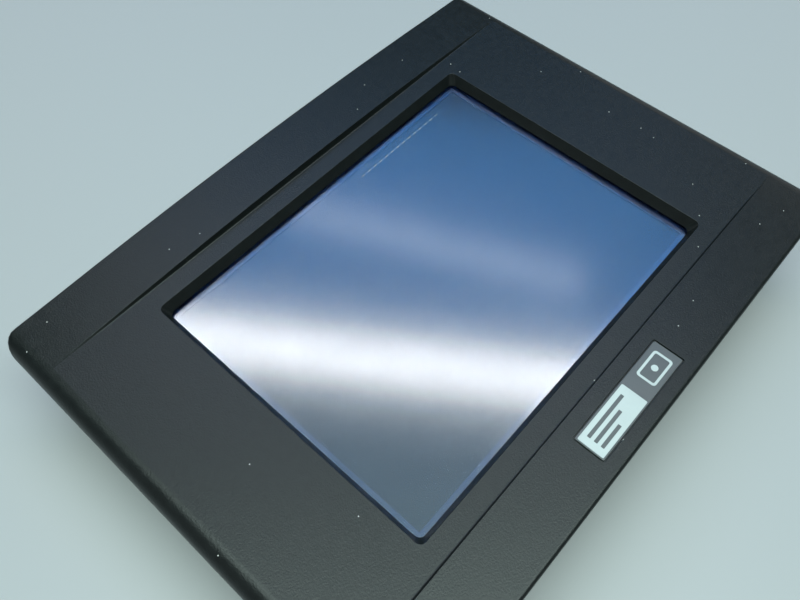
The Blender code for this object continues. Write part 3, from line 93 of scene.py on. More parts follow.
# %% Camera
camera_data = bpy.data.cameras.new("camera")
camera_data.lens = 34.02
camera_data.sensor_width = 36.0
camera_data.dof.use_dof = False
camera_data.clip_start = 0.01
camera = bpy.data.objects.new("camera", camera_data)
camera.location = (-0.17313, -0.12807, 0.37506)
camera.rotation_euler = (math.radians(31.38), math.radians(-0.09), math.radians(-48.08))
bpy.context.scene.collection.objects.link(camera)
bpy.context.scene.camera = camera
print("camera at", [round(v, 3) for v in camera.location])

# %% [markdown]
# A screen that is switched off shows mostly what it mirrors. Here that is a bluish ceiling, one
# bright strip lamp with a soft edge, and a fainter strip further off. Those bands could be painted
# on the glass, but then they would stay where they are when the view moves. So they are real lamps,
# hung where their mirror image falls on the glass: two wide glow panels for the ceiling, the strip
# with its halo, and the second strip. One helper makes them all, and asks for the brightness that
# a lamp shows, because that is what the glass mirrors. Its power follows from its size.

# %% Ceiling and strip lamps
STRIP_ANGLE = -55.9
SECOND_ANGLE = -66.0
CEILING = (
    # name, place and size in metres, brightness, colour, turn in degrees
    ("far_glow", (1.02, 0.94, 1.75), (2.0, 0.95), 2.3, (0.08, 0.40, 1.0), STRIP_ANGLE),
    ("near_glow", (0.29, 0.45, 1.75), (2.0, 0.44), 1.0, (0.34, 0.60, 0.86), STRIP_ANGLE),
    ("strip_halo", (0.53, 0.61, 1.70), (1.9, 0.30), 0.3, (1.0, 0.90, 0.82), STRIP_ANGLE),
    ("strip_lamp", (0.50, 0.59, 1.66), (1.9, 0.14), 15.0, (0.97, 0.98, 1.0), STRIP_ANGLE),
    ("second_strip", (0.92, 0.74, 1.66), (1.0, 0.08), 4.0, (0.92, 0.93, 1.0), SECOND_ANGLE),
)


def area_lamp(name, place, size, radiance, colour, turn=0.0):
    """A lamp that faces straight down. Its power follows from the brightness that it shows."""
    data = bpy.data.lights.new(name, "AREA")
    data.shape = "RECTANGLE"
    data.size, data.size_y = size
    data.color = colour
    data.energy = radiance * math.pi * size[0] * size[1]
    lamp = bpy.data.objects.new(name, data)
    lamp.location = place
    lamp.rotation_euler = (0.0, 0.0, math.radians(turn))
    bpy.context.scene.collection.objects.link(lamp)
    return lamp


for row in CEILING:
    area_lamp(*row)
print("ceiling lamps:", len(CEILING))

# %% [markdown]
# The case is matt black, so it shows its form only where a large soft light grazes it. A single
# bright lamp would do that with hard glints. A soft box above the near side and four tall side
# lamps do it evenly, and leave no side of the terminal in the dark.

# %% Soft box and side lamps
BOX_ANGLE = -45.0
SIDE_SIZE = (1.6, 0.8)
SIDES = (
    ("side_front", (-0.3, -2.0, 0.7), 0.5),
    ("side_right", (2.0, 0.0, 0.7), 1.0),
    ("side_back", (0.3, 2.0, 0.7), 0.9),
    ("side_left", (-2.0, 0.3, 0.7), 0.4),
)
area_lamp("soft_box", (-0.20, -0.20, 1.5), (2.2, 0.7), 10.5, (0.80, 1.0, 0.94), BOX_ANGLE)
for name, place, radiance in SIDES:
    lamp = area_lamp(name, place, SIDE_SIZE, radiance, (1.0, 1.0, 1.0))
    lamp.rotation_euler = (-Vector(place)).to_track_quat("-Z", "Y").to_euler()

# %% [markdown]
# The bench is a plain pale top. A scratched metal bench would draw the eye away from the terminal
# and would have to be made as well, so one flat plane is enough. It lies half a millimetre low, so
# that no face of the terminal lies in its plane. A weak bluish room light fills the shade.

# %% Bench and room
BENCH_SIZE = 6.0
BENCH_DROP = 0.5
ROOM_COLOUR = (0.55, 0.62, 0.70, 1.0)
ROOM_STRENGTH = 0.11
world = bpy.data.worlds.new("room")
world.use_nodes = True
room = world.node_tree.nodes["Background"]
room.inputs["Color"].default_value = ROOM_COLOUR
room.inputs["Strength"].default_value = ROOM_STRENGTH
bpy.context.scene.world = world
bpy.context.scene.view_settings.view_transform = "Standard"

bpy.ops.object.select_all(action="DESELECT")
bpy.ops.mesh.primitive_plane_add(size=BENCH_SIZE, location=(0, 0, -BENCH_DROP * MM))
bench = bpy.context.object
bench.name = "bench"
bench_finish = bpy.data.materials.new("bench_pale")
bench_finish.use_nodes = True
bench_shader = bench_finish.node_tree.nodes["Principled BSDF"]
bench_shader.inputs["Base Color"].default_value = (0.25, 0.255, 0.26, 1.0)
bench_shader.inputs["Roughness"].default_value = 0.55
bench.data.materials.append(bench_finish)
print("bench side in metres:", BENCH_SIZE)

# %% [markdown]
# The finishes share a few effects, such as grain and dust. An effect could be built again inside
# each material, but then a change would have to be made in many places. So each is a small node
# group with named sockets, and a finish only says how strongly it is used. These helpers add a
# node, join two nodes, and map one range of values to another.

# %% Node helpers
def node_in(tree, kind, **values):
    """A new node. Each value goes to the node's own setting, or else to its input."""
    node = tree.nodes.new(kind)
    for key, value in values.items():
        if hasattr(node, key):
            setattr(node, key, value)
        else:
            node.inputs[key].default_value = value
    return node


def join(tree, source, output, target, name):
    tree.links.new(source.outputs[output], target.inputs[name])


def effect(name, outputs, settings=()):
    """A new node group with float sockets, and its two end nodes."""
    tree = bpy.data.node_groups.new(name, "ShaderNodeTree")
    for title, value in settings:
        socket = tree.interface.new_socket(title, in_out="INPUT", socket_type="NodeSocketFloat")
        socket.default_value = value
    for title in outputs:
        tree.interface.new_socket(title, in_out="OUTPUT", socket_type="NodeSocketFloat")
    return tree, tree.nodes.new("NodeGroupInput"), tree.nodes.new("NodeGroupOutput")


def ramp(tree, source, output, low, high, start=0.0, end=1.0):
    """Maps a value from one range to another, held at both ends."""
    node = node_in(tree, "ShaderNodeMapRange")
    node.inputs["From Min"].default_value = low
    node.inputs["From Max"].default_value = high
    node.inputs["To Min"].default_value = start
    node.inputs["To Max"].default_value = end
    join(tree, source, output, node, "Value")
    return node


def product(tree, first, first_output, second, second_output):
    node = node_in(tree, "ShaderNodeMath", operation="MULTIPLY")
    tree.links.new(first.outputs[first_output], node.inputs[0])
    tree.links.new(second.outputs[second_output], node.inputs[1])
    return node


print("node helpers ready")

# %% [markdown]
# A moulding takes over the spark-eroded grain of its mould, and powder coat dries to a soft orange
# peel. Both are a fine height with a slow cloud over it, and differ only in scale. A picture of a
# real surface would repeat and would blur close up, so they are noise on Object coordinates, which
# keeps its size in millimetres on every piece. The cloud later moves the tone and the gloss a
# little, as handling does.

# %% Grain
CLOUD_RANGE = (0.3, 0.7)


def grain_effect(name, fine_scale, cloud_scale):
    """Height of a fine grain, with a slow cloud that varies tone and gloss."""
    tree, start, end = effect(name, ("Height", "Cloud"))
    place = tree.nodes.new("ShaderNodeTexCoord")
    fine = node_in(tree, "ShaderNodeTexNoise", Scale=fine_scale, Detail=3.0, Roughness=0.6)
    cloud = node_in(tree, "ShaderNodeTexNoise", Scale=cloud_scale, Detail=4.0, Roughness=0.6)
    for texture in (fine, cloud):
        join(tree, place, "Object", texture, "Vector")
    join(tree, fine, "Fac", end, "Height")
    wide = ramp(tree, cloud, "Fac", *CLOUD_RANGE)
    join(tree, wide, "Result", end, "Cloud")
    return tree


MOULDED = grain_effect("moulded_grain", 1200.0, 260.0)
POWDER = grain_effect("orange_peel", 900.0, 90.0)
SMOOTH = grain_effect("smooth_moulding", 500.0, 60.0)
print("grains:", [g.name for g in (MOULDED, POWDER, SMOOTH)])

# %% [markdown]
# Rolled and plated sheet has fine parallel streaks. An anisotropic shader could suggest them, but
# it shows nothing close up. Noise that is squeezed across one axis gives real lines, and they catch
# the light along their length.

# %% Streaks
ALONG = 60.0
ACROSS = 2600.0


def streak_effect(name):
    """Height of fine parallel streaks, as rolling or brushing leaves them."""
    tree, start, end = effect(name, ("Height", "Cloud"))
    place = tree.nodes.new("ShaderNodeTexCoord")
    stretch = node_in(tree, "ShaderNodeMapping")
    stretch.inputs["Scale"].default_value = (ALONG, ACROSS, ACROSS)
    join(tree, place, "Object", stretch, "Vector")
    streak = node_in(tree, "ShaderNodeTexNoise", Scale=1.0, Detail=4.0, Roughness=0.65)
    join(tree, stretch, "Vector", streak, "Vector")
    cloud = node_in(tree, "ShaderNodeTexNoise", Scale=45.0, Detail=3.0)
    join(tree, place, "Object", cloud, "Vector")
    join(tree, streak, "Fac", end, "Height")
    wide = ramp(tree, cloud, "Fac", *CLOUD_RANGE)
    join(tree, wide, "Result", end, "Cloud")
    return tree


ROLLED = streak_effect("rolled_streaks")
print("streaks:", ROLLED.name)

# %% [markdown]
# A terminal that lay on a shelf has a few pale specks of dust on what faces up. They could be
# hundreds of tiny meshes, which would be slow for so small an effect. Instead the surface is
# divided in irregular cells. The middle of a cell is a speck, most cells are left out by their
# random colour, and a face that doesn't look up gets none.

# %% Dust
SPECK_SHARE = 0.18


def dust_effect():
    """Sparse pale specks on faces that look up."""
    tree, start, end = effect("settled_dust", ("Mask",), (("Spread", 60.0), ("Size", 0.016)))
    place = tree.nodes.new("ShaderNodeTexCoord")
    cells = node_in(tree, "ShaderNodeTexVoronoi", voronoi_dimensions="2D", feature="F1")
    join(tree, place, "Object", cells, "Vector")
    join(tree, start, "Spread", cells, "Scale")
    near = node_in(tree, "ShaderNodeMath", operation="LESS_THAN")
    tree.links.new(cells.outputs["Distance"], near.inputs[0])
    tree.links.new(start.outputs["Size"], near.inputs[1])
    parts = node_in(tree, "ShaderNodeSeparateColor")
    join(tree, cells, "Color", parts, "Color")
    few = node_in(tree, "ShaderNodeMath", operation="GREATER_THAN")
    few.inputs[1].default_value = 1.0 - SPECK_SHARE
    tree.links.new(parts.outputs["Red"], few.inputs[0])
    direction = node_in(tree, "ShaderNodeSeparateXYZ")
    join(tree, place, "Normal", direction, "Vector")
    upward = ramp(tree, direction, "Z", 0.3, 0.8)
    chosen = product(tree, near, "Value", few, "Value")
    settled = product(tree, chosen, "Value", upward, "Result")
    join(tree, settled, "Value", end, "Mask")
    return tree


DUST = dust_effect()
print("dust:", DUST.name)

# %% [markdown]
# A circuit board shows straight copper tracks and round pads under its green lacquer. Each track
# could be modelled, but the boards are seen only through vents and the open card door. A brick
# pattern with a wide mortar gives the tracks, and the middles of irregular cells give the pads.

# %% Circuit tracks
def track_effect():
    """Straight copper tracks and round pads under solder resist."""
    tree, start, end = effect("circuit_tracks", ("Track", "Pad"))
    place = tree.nodes.new("ShaderNodeTexCoord")
    bricks = node_in(tree, "ShaderNodeTexBrick", Scale=420.0, offset=0.37, squash=0.7)
    bricks.inputs["Mortar Size"].default_value = 0.035
    join(tree, place, "Object", bricks, "Vector")
    join(tree, bricks, "Fac", end, "Track")
    cells = node_in(tree, "ShaderNodeTexVoronoi", voronoi_dimensions="2D", Scale=280.0)
    cells.inputs["Randomness"].default_value = 0.75
    join(tree, place, "Object", cells, "Vector")
    dots = ramp(tree, cells, "Distance", 0.16, 0.13)
    join(tree, dots, "Result", end, "Pad")
    return tree


TRACKS = track_effect()
print("effects:", [g.name for g in bpy.data.node_groups])

# %% [markdown]
# A finish is one Principled surface. A single flat colour and gloss would look like a drawing, so
# the colour lies between a dark and a light tone that the cloud picks, the gloss moves with the
# same cloud, and the fine height becomes a bump. Dust is laid over the colour where it is asked
# for. One function makes every finish, and a table then reads like a paint list.

# %% Finish helper
def tone(colour, share):
    return tuple(min(1.0, c * share) for c in colour) + (1.0,)


def new_surface(name):
    """A new material, with its node tree and its Principled shader."""
    material = bpy.data.materials.new(name)
    material.use_nodes = True
    return material, material.node_tree, material.node_tree.nodes["Principled BSDF"]


def bump(tree, used, output, depth, shader):
    """Turns a height into the shader's normal. depth is in mm."""
    relief = node_in(tree, "ShaderNodeBump", Distance=depth * MM, Strength=1.0)
    join(tree, used, output, relief, "Height")
    join(tree, relief, "Normal", shader, "Normal")


def finish(name, effect_tree, colour, spread, gloss, depth, metallic=0.0, dust=0.0):
    """spread: dark and light share of the colour. gloss: low and high roughness. depth in mm."""
    material, tree, shader = new_surface(name)
    shader.inputs["Metallic"].default_value = metallic
    used = node_in(tree, "ShaderNodeGroup", node_tree=effect_tree)
    colours = node_in(tree, "ShaderNodeMix", data_type="RGBA")
    colours.inputs[6].default_value = tone(colour, spread[0])
    colours.inputs[7].default_value = tone(colour, spread[1])
    tree.links.new(used.outputs["Cloud"], colours.inputs[0])
    last = colours
    if dust:
        settled = node_in(tree, "ShaderNodeGroup", node_tree=DUST)
        laid = node_in(tree, "ShaderNodeMix", data_type="RGBA")
        laid.inputs[7].default_value = (dust, dust, dust * 0.95, 1.0)
        tree.links.new(settled.outputs["Mask"], laid.inputs[0])
        tree.links.new(colours.outputs[2], laid.inputs[6])
        last = laid
    tree.links.new(last.outputs[2], shader.inputs["Base Color"])
    rough = ramp(tree, used, "Cloud", 0.0, 1.0, gloss[0], gloss[1])
    join(tree, rough, "Result", shader, "Roughness")
    bump(tree, used, "Height", depth, shader)
    return material


FINISH = {}
print("finish helper ready")

# %% [markdown]
# Most of what is seen is plastic, rubber, paint or ink. They differ in colour, in gloss and in how
# deep the grain is. The black moulding is the one that counts: nearly black, matt, with a deep
# grain and dust. Its mirror part and that of the display are lowered, because a matt surface that
# mirrors as strongly as a polished one looks grey and wet.

# %% Plastics, rubber, paint and ink
BLACK_MOULDING = (0.0050, 0.0064, 0.0064)
FINISH["black_moulding"] = finish(
    "black_moulding", MOULDED, BLACK_MOULDING, (0.88, 1.18), (0.29, 0.36), 0.14, dust=0.45
)
PLAIN = (
    # name, effect, colour, dark and light share, low and high roughness, depth of the grain
    ("black_rubber", SMOOTH, (0.012, 0.012, 0.012), (0.8, 1.3), (0.75, 0.9), 0.03),
    ("cell_dark", SMOOTH, (0.009, 0.012, 0.017), (0.97, 1.03), (0.44, 0.46), 0.0),
    ("cell_border", SMOOTH, (0.010, 0.024, 0.085), (0.9, 1.1), (0.3, 0.34), 0.0),
    ("clear_plastic", SMOOTH, (0.80, 0.82, 0.82), (0.95, 1.0), (0.1, 0.2), 0.0),
    ("lamp_white", SMOOTH, (0.90, 0.90, 0.85), (0.95, 1.0), (0.25, 0.35), 0.0),
    ("black_paint", POWDER, (0.022, 0.022, 0.024), (0.94, 1.06), (0.40, 0.46), 0.06),
    ("badge_print", SMOOTH, (0.030, 0.035, 0.037), (0.92, 1.08), (0.3, 0.4), 0.01),
    ("badge_light", SMOOTH, (0.30, 0.33, 0.33), (0.92, 1.05), (0.35, 0.5), 0.01),
    ("ink", SMOOTH, (0.02, 0.02, 0.022), (0.9, 1.1), (0.4, 0.5), 0.005),
    ("black_chip", MOULDED, (0.020, 0.020, 0.022), (0.85, 1.2), (0.45, 0.6), 0.02),
    ("green_terminal", SMOOTH, (0.020, 0.21, 0.075), (0.85, 1.15), (0.35, 0.5), 0.02),
    ("ivory_plastic", SMOOTH, (0.72, 0.69, 0.59), (0.92, 1.05), (0.4, 0.5), 0.01),
    ("orange_film", SMOOTH, (0.52, 0.20, 0.03), (0.85, 1.15), (0.2, 0.35), 0.005),
    ("red_plastic", SMOOTH, (0.50, 0.025, 0.02), (0.9, 1.1), (0.3, 0.4), 0.01),
    ("amber_lens", SMOOTH, (0.75, 0.32, 0.02), (0.9, 1.1), (0.12, 0.2), 0.0),
    ("green_lens", SMOOTH, (0.05, 0.42, 0.08), (0.9, 1.1), (0.12, 0.2), 0.0),
)
for row in PLAIN:
    FINISH[row[0]] = finish(*row)
for name, level in (("black_moulding", 0.22), ("cell_dark", 0.3)):
    matt = FINISH[name].node_tree.nodes["Principled BSDF"]
    matt.inputs["Specular IOR Level"].default_value = level
print("plain finishes:", len(FINISH))

# %% [markdown]
# The metals are zinc-plated steel, bright nickel, aluminium, brass and gilding. All of them come
# from rolled sheet or drawn wire, so the streaks serve for all, and only colour and gloss differ.
# The rating label is a film with a thin metal layer, so it is only partly a metal.

# %% Metals
METALS = (
    # name, effect, colour, dark and light share, low and high roughness, depth, how metallic
    ("zinc_steel", ROLLED, (0.56, 0.57, 0.58), (0.85, 1.1), (0.28, 0.42), 0.01, 1.0),
    ("bright_steel", ROLLED, (0.66, 0.65, 0.63), (0.9, 1.08), (0.16, 0.3), 0.006, 1.0),
    ("aluminium", ROLLED, (0.70, 0.71, 0.72), (0.9, 1.08), (0.25, 0.4), 0.01, 1.0),
    ("brass", ROLLED, (0.72, 0.50, 0.20), (0.9, 1.1), (0.2, 0.35), 0.006, 1.0),
    ("gold_contact", ROLLED, (0.85, 0.60, 0.22), (0.92, 1.08), (0.15, 0.25), 0.004, 1.0),
    ("label_film", ROLLED, (0.55, 0.56, 0.57), (0.94, 1.05), (0.3, 0.4), 0.004, 0.6),
)
for row in METALS:
    FINISH[row[0]] = finish(*row)
print("metals:", len(METALS))

# %% [markdown]
# The boards are coated in dark green lacquer, which is paler where copper runs below it, and have
# bare tinned pads. The track pattern picks between the two greens and stands up a little. The pad
# pattern lays the tin over them and makes that spot metallic.

# %% Circuit board
LACQUER = (0.010, 0.085, 0.030, 1.0)
OVER_COPPER = (0.030, 0.19, 0.065, 1.0)
TINNED = (0.62, 0.60, 0.55, 1.0)
TRACK_HEIGHT = 0.02


def board_finish():
    material, tree, shader = new_surface("circuit_board")
    shader.inputs["Roughness"].default_value = 0.35
    used = node_in(tree, "ShaderNodeGroup", node_tree=TRACKS)
    tracks = node_in(tree, "ShaderNodeMix", data_type="RGBA")
    tracks.inputs[6].default_value = LACQUER
    tracks.inputs[7].default_value = OVER_COPPER
    tree.links.new(used.outputs["Track"], tracks.inputs[0])
    pads = node_in(tree, "ShaderNodeMix", data_type="RGBA")
    pads.inputs[7].default_value = TINNED
    tree.links.new(used.outputs["Pad"], pads.inputs[0])
    tree.links.new(tracks.outputs[2], pads.inputs[6])
    tree.links.new(pads.outputs[2], shader.inputs["Base Color"])
    join(tree, used, "Pad", shader, "Metallic")
    bump(tree, used, "Track", TRACK_HEIGHT, shader)
    return material


FINISH["green_board"] = board_finish()
print("board finish:", FINISH["green_board"].name)

# %% [markdown]
# The screen's front sheet is clear, with a fine anti-glare surface: it mirrors the room, but
# softly. A glossy dark plane would mirror as well, but it would have no thickness and no display
# under it. So it is a real sheet of glass, lightly rough, over the dark display.

# %% Anti-glare glass
GLASS_TINT = (0.80, 0.88, 0.95, 1.0)
GLASS_ROUGH = (0.13, 0.14)


def glass_finish():
    material, tree, shader = new_surface("screen_glass")
    shader.inputs["Base Color"].default_value = GLASS_TINT
    shader.inputs["Transmission Weight"].default_value = 1.0
    shader.inputs["IOR"].default_value = 1.65
    used = node_in(tree, "ShaderNodeGroup", node_tree=SMOOTH)
    rough = ramp(tree, used, "Cloud", 0.0, 1.0, *GLASS_ROUGH)
    join(tree, rough, "Result", shader, "Roughness")
    return material


FINISH["screen_glass"] = glass_finish()
print("finishes:", len(FINISH))

# %% [markdown]
# No moulded, punched or plated edge is sharp: a small round catches a line of light, and the eye
# reads the size of a part from it. A subdivided mesh could round everything, but would swell the
# flat faces. A Bevel modifier rounds only the edges that are sharper than a given angle, and
# weighted normals keep the flat faces flat. Both are applied, so each piece is one plain mesh.

# %% Edges and shading
SHARP = math.radians(35.0)


def focus(obj):
    """Selects one object and nothing else, because an operator acts on all that is selected."""
    bpy.ops.object.select_all(action="DESELECT")
    obj.select_set(True)
    bpy.context.view_layer.objects.active = obj


def round_edges(obj, width):
    """Rounds the sharp edges. width is in mm."""
    focus(obj)
    edge = obj.modifiers.new("edge", "BEVEL")
    edge.width = width * MM
    edge.segments = 2
    edge.limit_method = "ANGLE"
    edge.angle_limit = SHARP
    edge.use_clamp_overlap = True
    edge.loop_slide = False
    bpy.ops.object.modifier_apply(modifier="edge")


def smooth(obj):
    """Smooth shading that leaves large flat faces flat."""
    focus(obj)
    bpy.ops.object.shade_smooth_by_angle(angle=SHARP)
    weighted = obj.modifiers.new("weighted", "WEIGHTED_NORMAL")
    weighted.mode = "FACE_AREA"
    weighted.weight = 100
    weighted.keep_sharp = True
    bpy.ops.object.modifier_apply(modifier="weighted")


print("edges above", round(math.degrees(SHARP)), "degrees get a round")

# %% [markdown]
# Every visible CAD part is taken over as a refined copy. It could be modelled again by hand, which
# would risk another size. The copy keeps the CAD's form: its loose triangles are merged, its flat
# faces become one, and its edges get their round. The copy then rides on the same body as the part
# that it stands for, so it moves with the joints.

# %% Refined copies
MERGE_WITHIN = 2e-6


def settle(obj, body, slot, surface, *replaced):
    """Gives a piece its finish and its body, and hides the CAD nodes that it stands for. The slot is not
    used.
    """
    obj.data.name = obj.name
    obj.data.materials.clear()
    obj.data.materials.append(FINISH[surface])
    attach(obj, body)
    if replaced:
        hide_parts(*replaced)
    return obj


def refined(node, name, body, slot, width=0.2, flat=0.6):
    """width of the edge round in mm. flat: faces within that many degrees become one."""
    source = nodes[node]
    piece = source.copy()
    piece.data = source.data.copy()
    piece.parent = None
    del piece["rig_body"]
    del piece["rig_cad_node"]
    piece.name = name
    bpy.context.scene.collection.objects.link(piece)
    focus(piece)
    bpy.ops.object.mode_set(mode="EDIT")
    bpy.ops.mesh.select_all(action="SELECT")
    bpy.ops.mesh.remove_doubles(threshold=MERGE_WITHIN)
    bpy.ops.mesh.dissolve_limited(angle_limit=math.radians(flat))
    bpy.ops.object.mode_set(mode="OBJECT")
    bpy.ops.mesh.customdata_custom_splitnormals_clear()
    round_edges(piece, width)
    smooth(piece)
    return settle(piece, body, slot, slot, node)


print("copying ready")

# %% [markdown]
# The front moulding carries most of the view: crowned strips at the top and bottom, a step line
# that fades towards the ends, and a window whose walls lean in. All of that is real form in the
# CAD, so the copy only merges faces that are flat to a twentieth of a degree, or the crown would
# be lost. The seal, the glass, the display and the gasket that meets the panel sit in it. The badge
# plate is taken a little smaller than its recess, so that a dark line is left round it.

# %% Front parts
BADGE_FIT = (0.985, 0.945, 1.0)
bezel = refined("front_bezel", "bezel", TERMINAL, "black_moulding", 0.4, 0.05)
refined("touch_glass", "glass", TERMINAL, "screen_glass", 0.3)
refined("touch_seal", "window_seal", TERMINAL, "black_rubber", 0.15)
refined("panel_gasket", "gasket", TERMINAL, "black_rubber", 0.5)
badge = refined("nameplate", "badge_plate", TERMINAL, "badge_print", 0.15)
focus(badge)
bpy.ops.object.mode_set(mode="EDIT")
bpy.ops.mesh.select_all(action="SELECT")
bpy.ops.transform.resize(value=BADGE_FIT)
bpy.ops.object.mode_set(mode="OBJECT")
refined("lcd_cell", "display_cell", TERMINAL, "cell_dark", 0.1)
print("bezel faces:", len(bezel.data.polygons))

# %% [markdown]
# Small new pieces, such as contacts, labels and lenses, are mostly little blocks with rounded
# corners. Each could be drawn and extruded, but a cube is quicker: it is scaled to its two corners,
# the edges along one axis are chosen by their direction and bevelled wide, and the rest get the
# small round. A second shape can be cut away. All sizes are in millimetres.

# %% Slabs and cuts
CORNER_STEPS = 5


def apply_place(obj):
    focus(obj)
    bpy.ops.object.transform_apply(location=True, rotation=True, scale=True)


def slab(name, low, high, corner=0.0, axis=2, edge=0.1):
    """A box between two corners. Edges along one axis get the corner radius, the rest the edge."""
    middle = [(a + b) / 2 * MM for a, b in zip(low, high)]
    bpy.ops.object.select_all(action="DESELECT")
    bpy.ops.mesh.primitive_cube_add(size=1.0, location=middle)
    obj = bpy.context.object
    obj.name = name
    obj.scale = [(b - a) * MM for a, b in zip(low, high)]
    apply_place(obj)
    if corner:
        bpy.ops.object.mode_set(mode="EDIT")
        bpy.ops.mesh.select_mode(type="EDGE")
        bpy.ops.mesh.select_all(action="DESELECT")
        bpy.ops.object.mode_set(mode="OBJECT")
        points = obj.data.vertices
        for line in obj.data.edges:
            run = points[line.vertices[0]].co - points[line.vertices[1]].co
            line.select = abs(run[axis]) > 0.9 * run.length
        bpy.ops.object.mode_set(mode="EDIT")
        bpy.ops.mesh.bevel(offset=corner * MM, segments=CORNER_STEPS, affect="EDGES")
        bpy.ops.object.mode_set(mode="OBJECT")
    if edge:
        round_edges(obj, edge)
    smooth(obj)
    return obj


def cut(obj, *cutters):
    """Cuts the shapes from a piece and removes them."""
    for cutter in cutters:
        focus(obj)
        boolean = obj.modifiers.new("cut", "BOOLEAN")
        boolean.operation = "DIFFERENCE"
        boolean.solver = "EXACT"
        boolean.object = cutter
        bpy.ops.object.modifier_apply(modifier="cut")
        bpy.data.objects.remove(cutter, do_unlink=True)
    smooth(obj)
    return obj


print("slabs and cuts ready")

# %% [markdown]
# Between the display and the glass lies a thin foam frame. It keeps dust out of the gap and shows
# as a border round the lit area. Four strips could be laid round that area, but their joints would
# show through the glass, so it is one slab with the lit area cut from it. Its height is the gap
# that the CAD leaves.

# %% Foam frame behind the glass
ACTIVE_X = 105.6
ACTIVE_Y = 79.2
FOAM_PLAY = 0.05
glass_low, glass_high = corners("touch_glass")
gap_low = corners("lcd_frame")[1].z + FOAM_PLAY
gap_high = glass_low.z - FOAM_PLAY
foam_x = glass_high.x - 0.5
foam_y = glass_high.y - 0.6
foam = slab("foam_frame", (-foam_x, -foam_y, gap_low), (foam_x, foam_y, gap_high), edge=0.0)
lit_low = (-ACTIVE_X, -ACTIVE_Y, gap_low - 1)
lit_high = (ACTIVE_X, ACTIVE_Y, gap_high + 1)
cut(foam, slab("foam_hole", lit_low, lit_high, edge=0.0))
settle(foam, TERMINAL, "black_rubber", "cell_border")
print("foam frame from", round(gap_low, 2), "to", round(gap_high, 2))

# %% [markdown]
# Near the upper edge the front sheet carries a short row of pale dashes, part of the print of its
# touch film. Ink this thin could be a texture, but then it would need an image. One dash is a tiny
# slab, and an Array modifier repeats it at an even pitch along the row.

# %% Dashes on the touch film
DASH_START = 20.0
DASH_LONG = 2.4
DASH_WIDE = 0.40
DASH_Y = 73.0
DASH_PITCH = 4.8
film_top = glass_high.z - 0.01
dashes = slab(
    "film_dashes", (DASH_START, DASH_Y, film_top),
    (DASH_START + DASH_LONG, DASH_Y + DASH_WIDE, film_top + 0.04), edge=0.0,
)
row = dashes.modifiers.new("row", "ARRAY")
row.count = 14
row.use_relative_offset = False
row.use_constant_offset = True
row.constant_offset_displace = (DASH_PITCH * MM, 0.0, 0.0)
focus(dashes)
bpy.ops.object.modifier_apply(modifier="row")
settle(dashes, TERMINAL, "screen_glass", "badge_light")
print("dashes:", len(dashes.data.polygons) // 6)

# %% [markdown]
# Caps, pins, screws and dots are round. They could be cylinders joined by Booleans, but a turned
# piece is simpler as one surface: a disc is extruded and scaled step by step along a profile of
# radius and height, as on a lathe, and then laid along its axis.

# %% Turned pieces
TOWARD = {"+z": (0.0, 0.0, 0.0), "-y": (math.pi / 2, 0.0, 0.0)}


def turned(name, profile, base, toward="+z", steps=48, edge=0.0):
    """A round piece. The profile lists (radius, height) from its flat foot to its top."""
    bpy.ops.object.select_all(action="DESELECT")
    bpy.ops.mesh.primitive_circle_add(vertices=steps, radius=profile[0][0] * MM, fill_type="NGON")
    obj = bpy.context.object
    obj.name = name
    bpy.ops.object.mode_set(mode="EDIT")
    bpy.ops.mesh.select_all(action="SELECT")
    for (near, low), (far, high) in zip(profile, profile[1:]):
        rise = (0, 0, (high - low) * MM)
        bpy.ops.mesh.extrude_region_move(TRANSFORM_OT_translate={"value": rise})
        share = far / near
        bpy.ops.transform.resize(value=(share, share, 1.0), center_override=(0, 0, 0))
    bpy.ops.mesh.select_all(action="SELECT")
    bpy.ops.mesh.normals_make_consistent(inside=False)
    bpy.ops.object.mode_set(mode="OBJECT")
    obj.rotation_euler = TOWARD[toward]
    obj.location = [v * MM for v in base]
    apply_place(obj)
    if edge:
        round_edges(obj, edge)
    smooth(obj)
    return obj


print("turning ready")

# %% [markdown]
# The badge is a printed plate. Its field and marks are screen-printed ink, a few hundredths of a
# millimetre high. Lettering would name a maker, so the print is a plain field with three bars and
# a fingertip sign, which stand for no maker. They are thin slabs, because real ink has an edge
# that a painted colour lacks, and they are placed from the plate's own box.

# %% Badge print
INK = 0.07
plate_low, plate_high = corners("nameplate")
ink_low = plate_high.z - 0.02
badge_y = centre("nameplate").y - 0.1
field_low = (plate_low.x + 1.2, badge_y - 6.8, ink_low)
field_high = (plate_low.x + 36.6, badge_y + 6.8, ink_low + INK)
settle(slab("badge_field", field_low, field_high, 0.6, edge=0.02), TERMINAL, "badge_print", "badge_light")
BAR_LEFT = -28.0
BAR_HALF = 0.9
for row, right in enumerate((-1.0, -8.0, -14.0)):
    level = badge_y + 3.5 - 3.6 * row
    bar_low = (BAR_LEFT, level - BAR_HALF, ink_low + 0.05)
    bar_high = (right, level + BAR_HALF, ink_low + 0.11)
    bar = slab(f"badge_bar_{row + 1}", bar_low, bar_high, 0.3, edge=0.02)
    settle(bar, TERMINAL, "badge_print", "badge_print")
sign_x = plate_high.x - 12.7


def sign_plate(name, half_x, half_y, low, high, corner):
    """A rounded plate about the middle of the sign."""
    near = (sign_x - half_x, badge_y - half_y, low)
    far = (sign_x + half_x, badge_y + half_y, high)
    return slab(name, near, far, corner, edge=0.0)


outline = sign_plate("badge_sign", 8.3, 5.1, ink_low, ink_low + INK, 1.6)
inside = sign_plate("badge_sign_hole", 7.1, 3.9, ink_low - 1, ink_low + 1, 0.8)
settle(cut(outline, inside), TERMINAL, "badge_print", "badge_light")
dot = turned("badge_dot", ((1.7, 0.0), (1.7, INK)), (sign_x, badge_y, ink_low))
settle(dot, TERMINAL, "badge_print", "badge_light")

